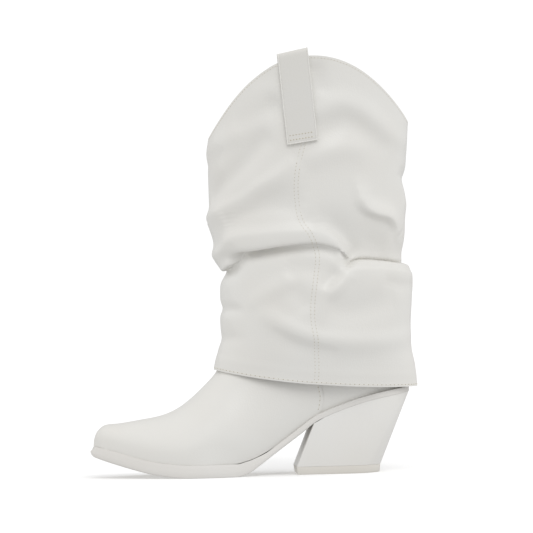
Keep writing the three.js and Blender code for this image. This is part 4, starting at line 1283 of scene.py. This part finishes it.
world = bpy.data.worlds.new("studio")
bpy.context.scene.world = world
world.use_nodes = True
world_nodes, world_links = world.node_tree.nodes, world.node_tree.links
background = world_nodes["Background"]
background.inputs["Strength"].default_value = 1.0
compass = world_nodes.new("ShaderNodeTexCoord")
height = world_nodes.new("ShaderNodeSeparateXYZ")
sky = world_nodes.new("ShaderNodeMapRange")
sky.inputs["From Min"].default_value = -1.0
sky.inputs["From Max"].default_value = 1.0
sky.inputs["To Min"].default_value = 0.245
sky.inputs["To Max"].default_value = 0.72
world_links.new(compass.outputs["Generated"], height.inputs[0])
world_links.new(height.outputs["Z"], sky.inputs["Value"])
sides = world_nodes.new("ShaderNodeMath")
sides.operation = "ABSOLUTE"
flanks = world_nodes.new("ShaderNodeMath")
flanks.operation = "MULTIPLY_ADD"
flanks.inputs[1].default_value = 0.48
world_links.new(height.outputs["X"], sides.inputs[0])
world_links.new(sides.outputs[0], flanks.inputs[0])
world_links.new(sky.outputs["Result"], flanks.inputs[2])
ground = world_nodes.new("ShaderNodeMapRange")
ground.inputs["From Min"].default_value = -1.0
ground.inputs["From Max"].default_value = -0.15
ground.inputs["To Min"].default_value = 0.41
ground.inputs["To Max"].default_value = 0.0
whole = world_nodes.new("ShaderNodeMath")
whole.operation = "ADD"
world_links.new(height.outputs["Z"], ground.inputs["Value"])
world_links.new(flanks.outputs[0], whole.inputs[0])
world_links.new(ground.outputs["Result"], whole.inputs[1])
world_links.new(whole.outputs[0], background.inputs["Color"])
seen = world_nodes.new("ShaderNodeBackground")
seen.inputs["Color"].default_value = (1, 1, 1, 1)
seen.inputs["Strength"].default_value = 1.05
path = world_nodes.new("ShaderNodeLightPath")
choose = world_nodes.new("ShaderNodeMixShader")
world_links.new(path.outputs["Is Camera Ray"], choose.inputs[0])
world_links.new(background.outputs[0], choose.inputs[1])
world_links.new(seen.outputs[0], choose.inputs[2])
world_links.new(choose.outputs[0], world_nodes["World Output"].inputs["Surface"])


sun_data = bpy.data.lights.new("soft_sun", "SUN")
sun_data.energy = 0.78
sun_data.angle = math.radians(36)
sun = bpy.data.objects.new("soft_sun", sun_data)
bpy.context.scene.collection.objects.link(sun)
sun.rotation_euler = Vector((-0.12, 0.71, -0.69)).to_track_quat("-Z", "Y").to_euler()

EYE_DISTANCE = 3.0
EYE_TURN = math.radians(3.0)
EYE_ROLL = math.radians(1.3)
AIM = Vector((-52.9 * MM, 0, 163.9 * MM))
camera_data = bpy.data.cameras.new("camera")
camera_data.sensor_width = 36
camera_data.lens = 36 * (3000 / 0.79) / 533
camera_data.clip_end = 30
camera = bpy.data.objects.new("camera", camera_data)
bpy.context.scene.collection.objects.link(camera)
forward = Vector((math.sin(EYE_TURN), math.cos(EYE_TURN), 0))
level_right = Vector((math.cos(EYE_TURN), -math.sin(EYE_TURN), 0))
upright = Vector((0, 0, 1))
right = level_right * math.cos(EYE_ROLL) - upright * math.sin(EYE_ROLL)
above = level_right * math.sin(EYE_ROLL) + upright * math.cos(EYE_ROLL)
turned = Matrix((right, above, -forward)).transposed()
camera.matrix_world = Matrix.Translation(AIM - forward * EYE_DISTANCE) @ turned.to_4x4()
bpy.context.scene.camera = camera
bpy.context.scene.view_settings.view_transform = "Standard"
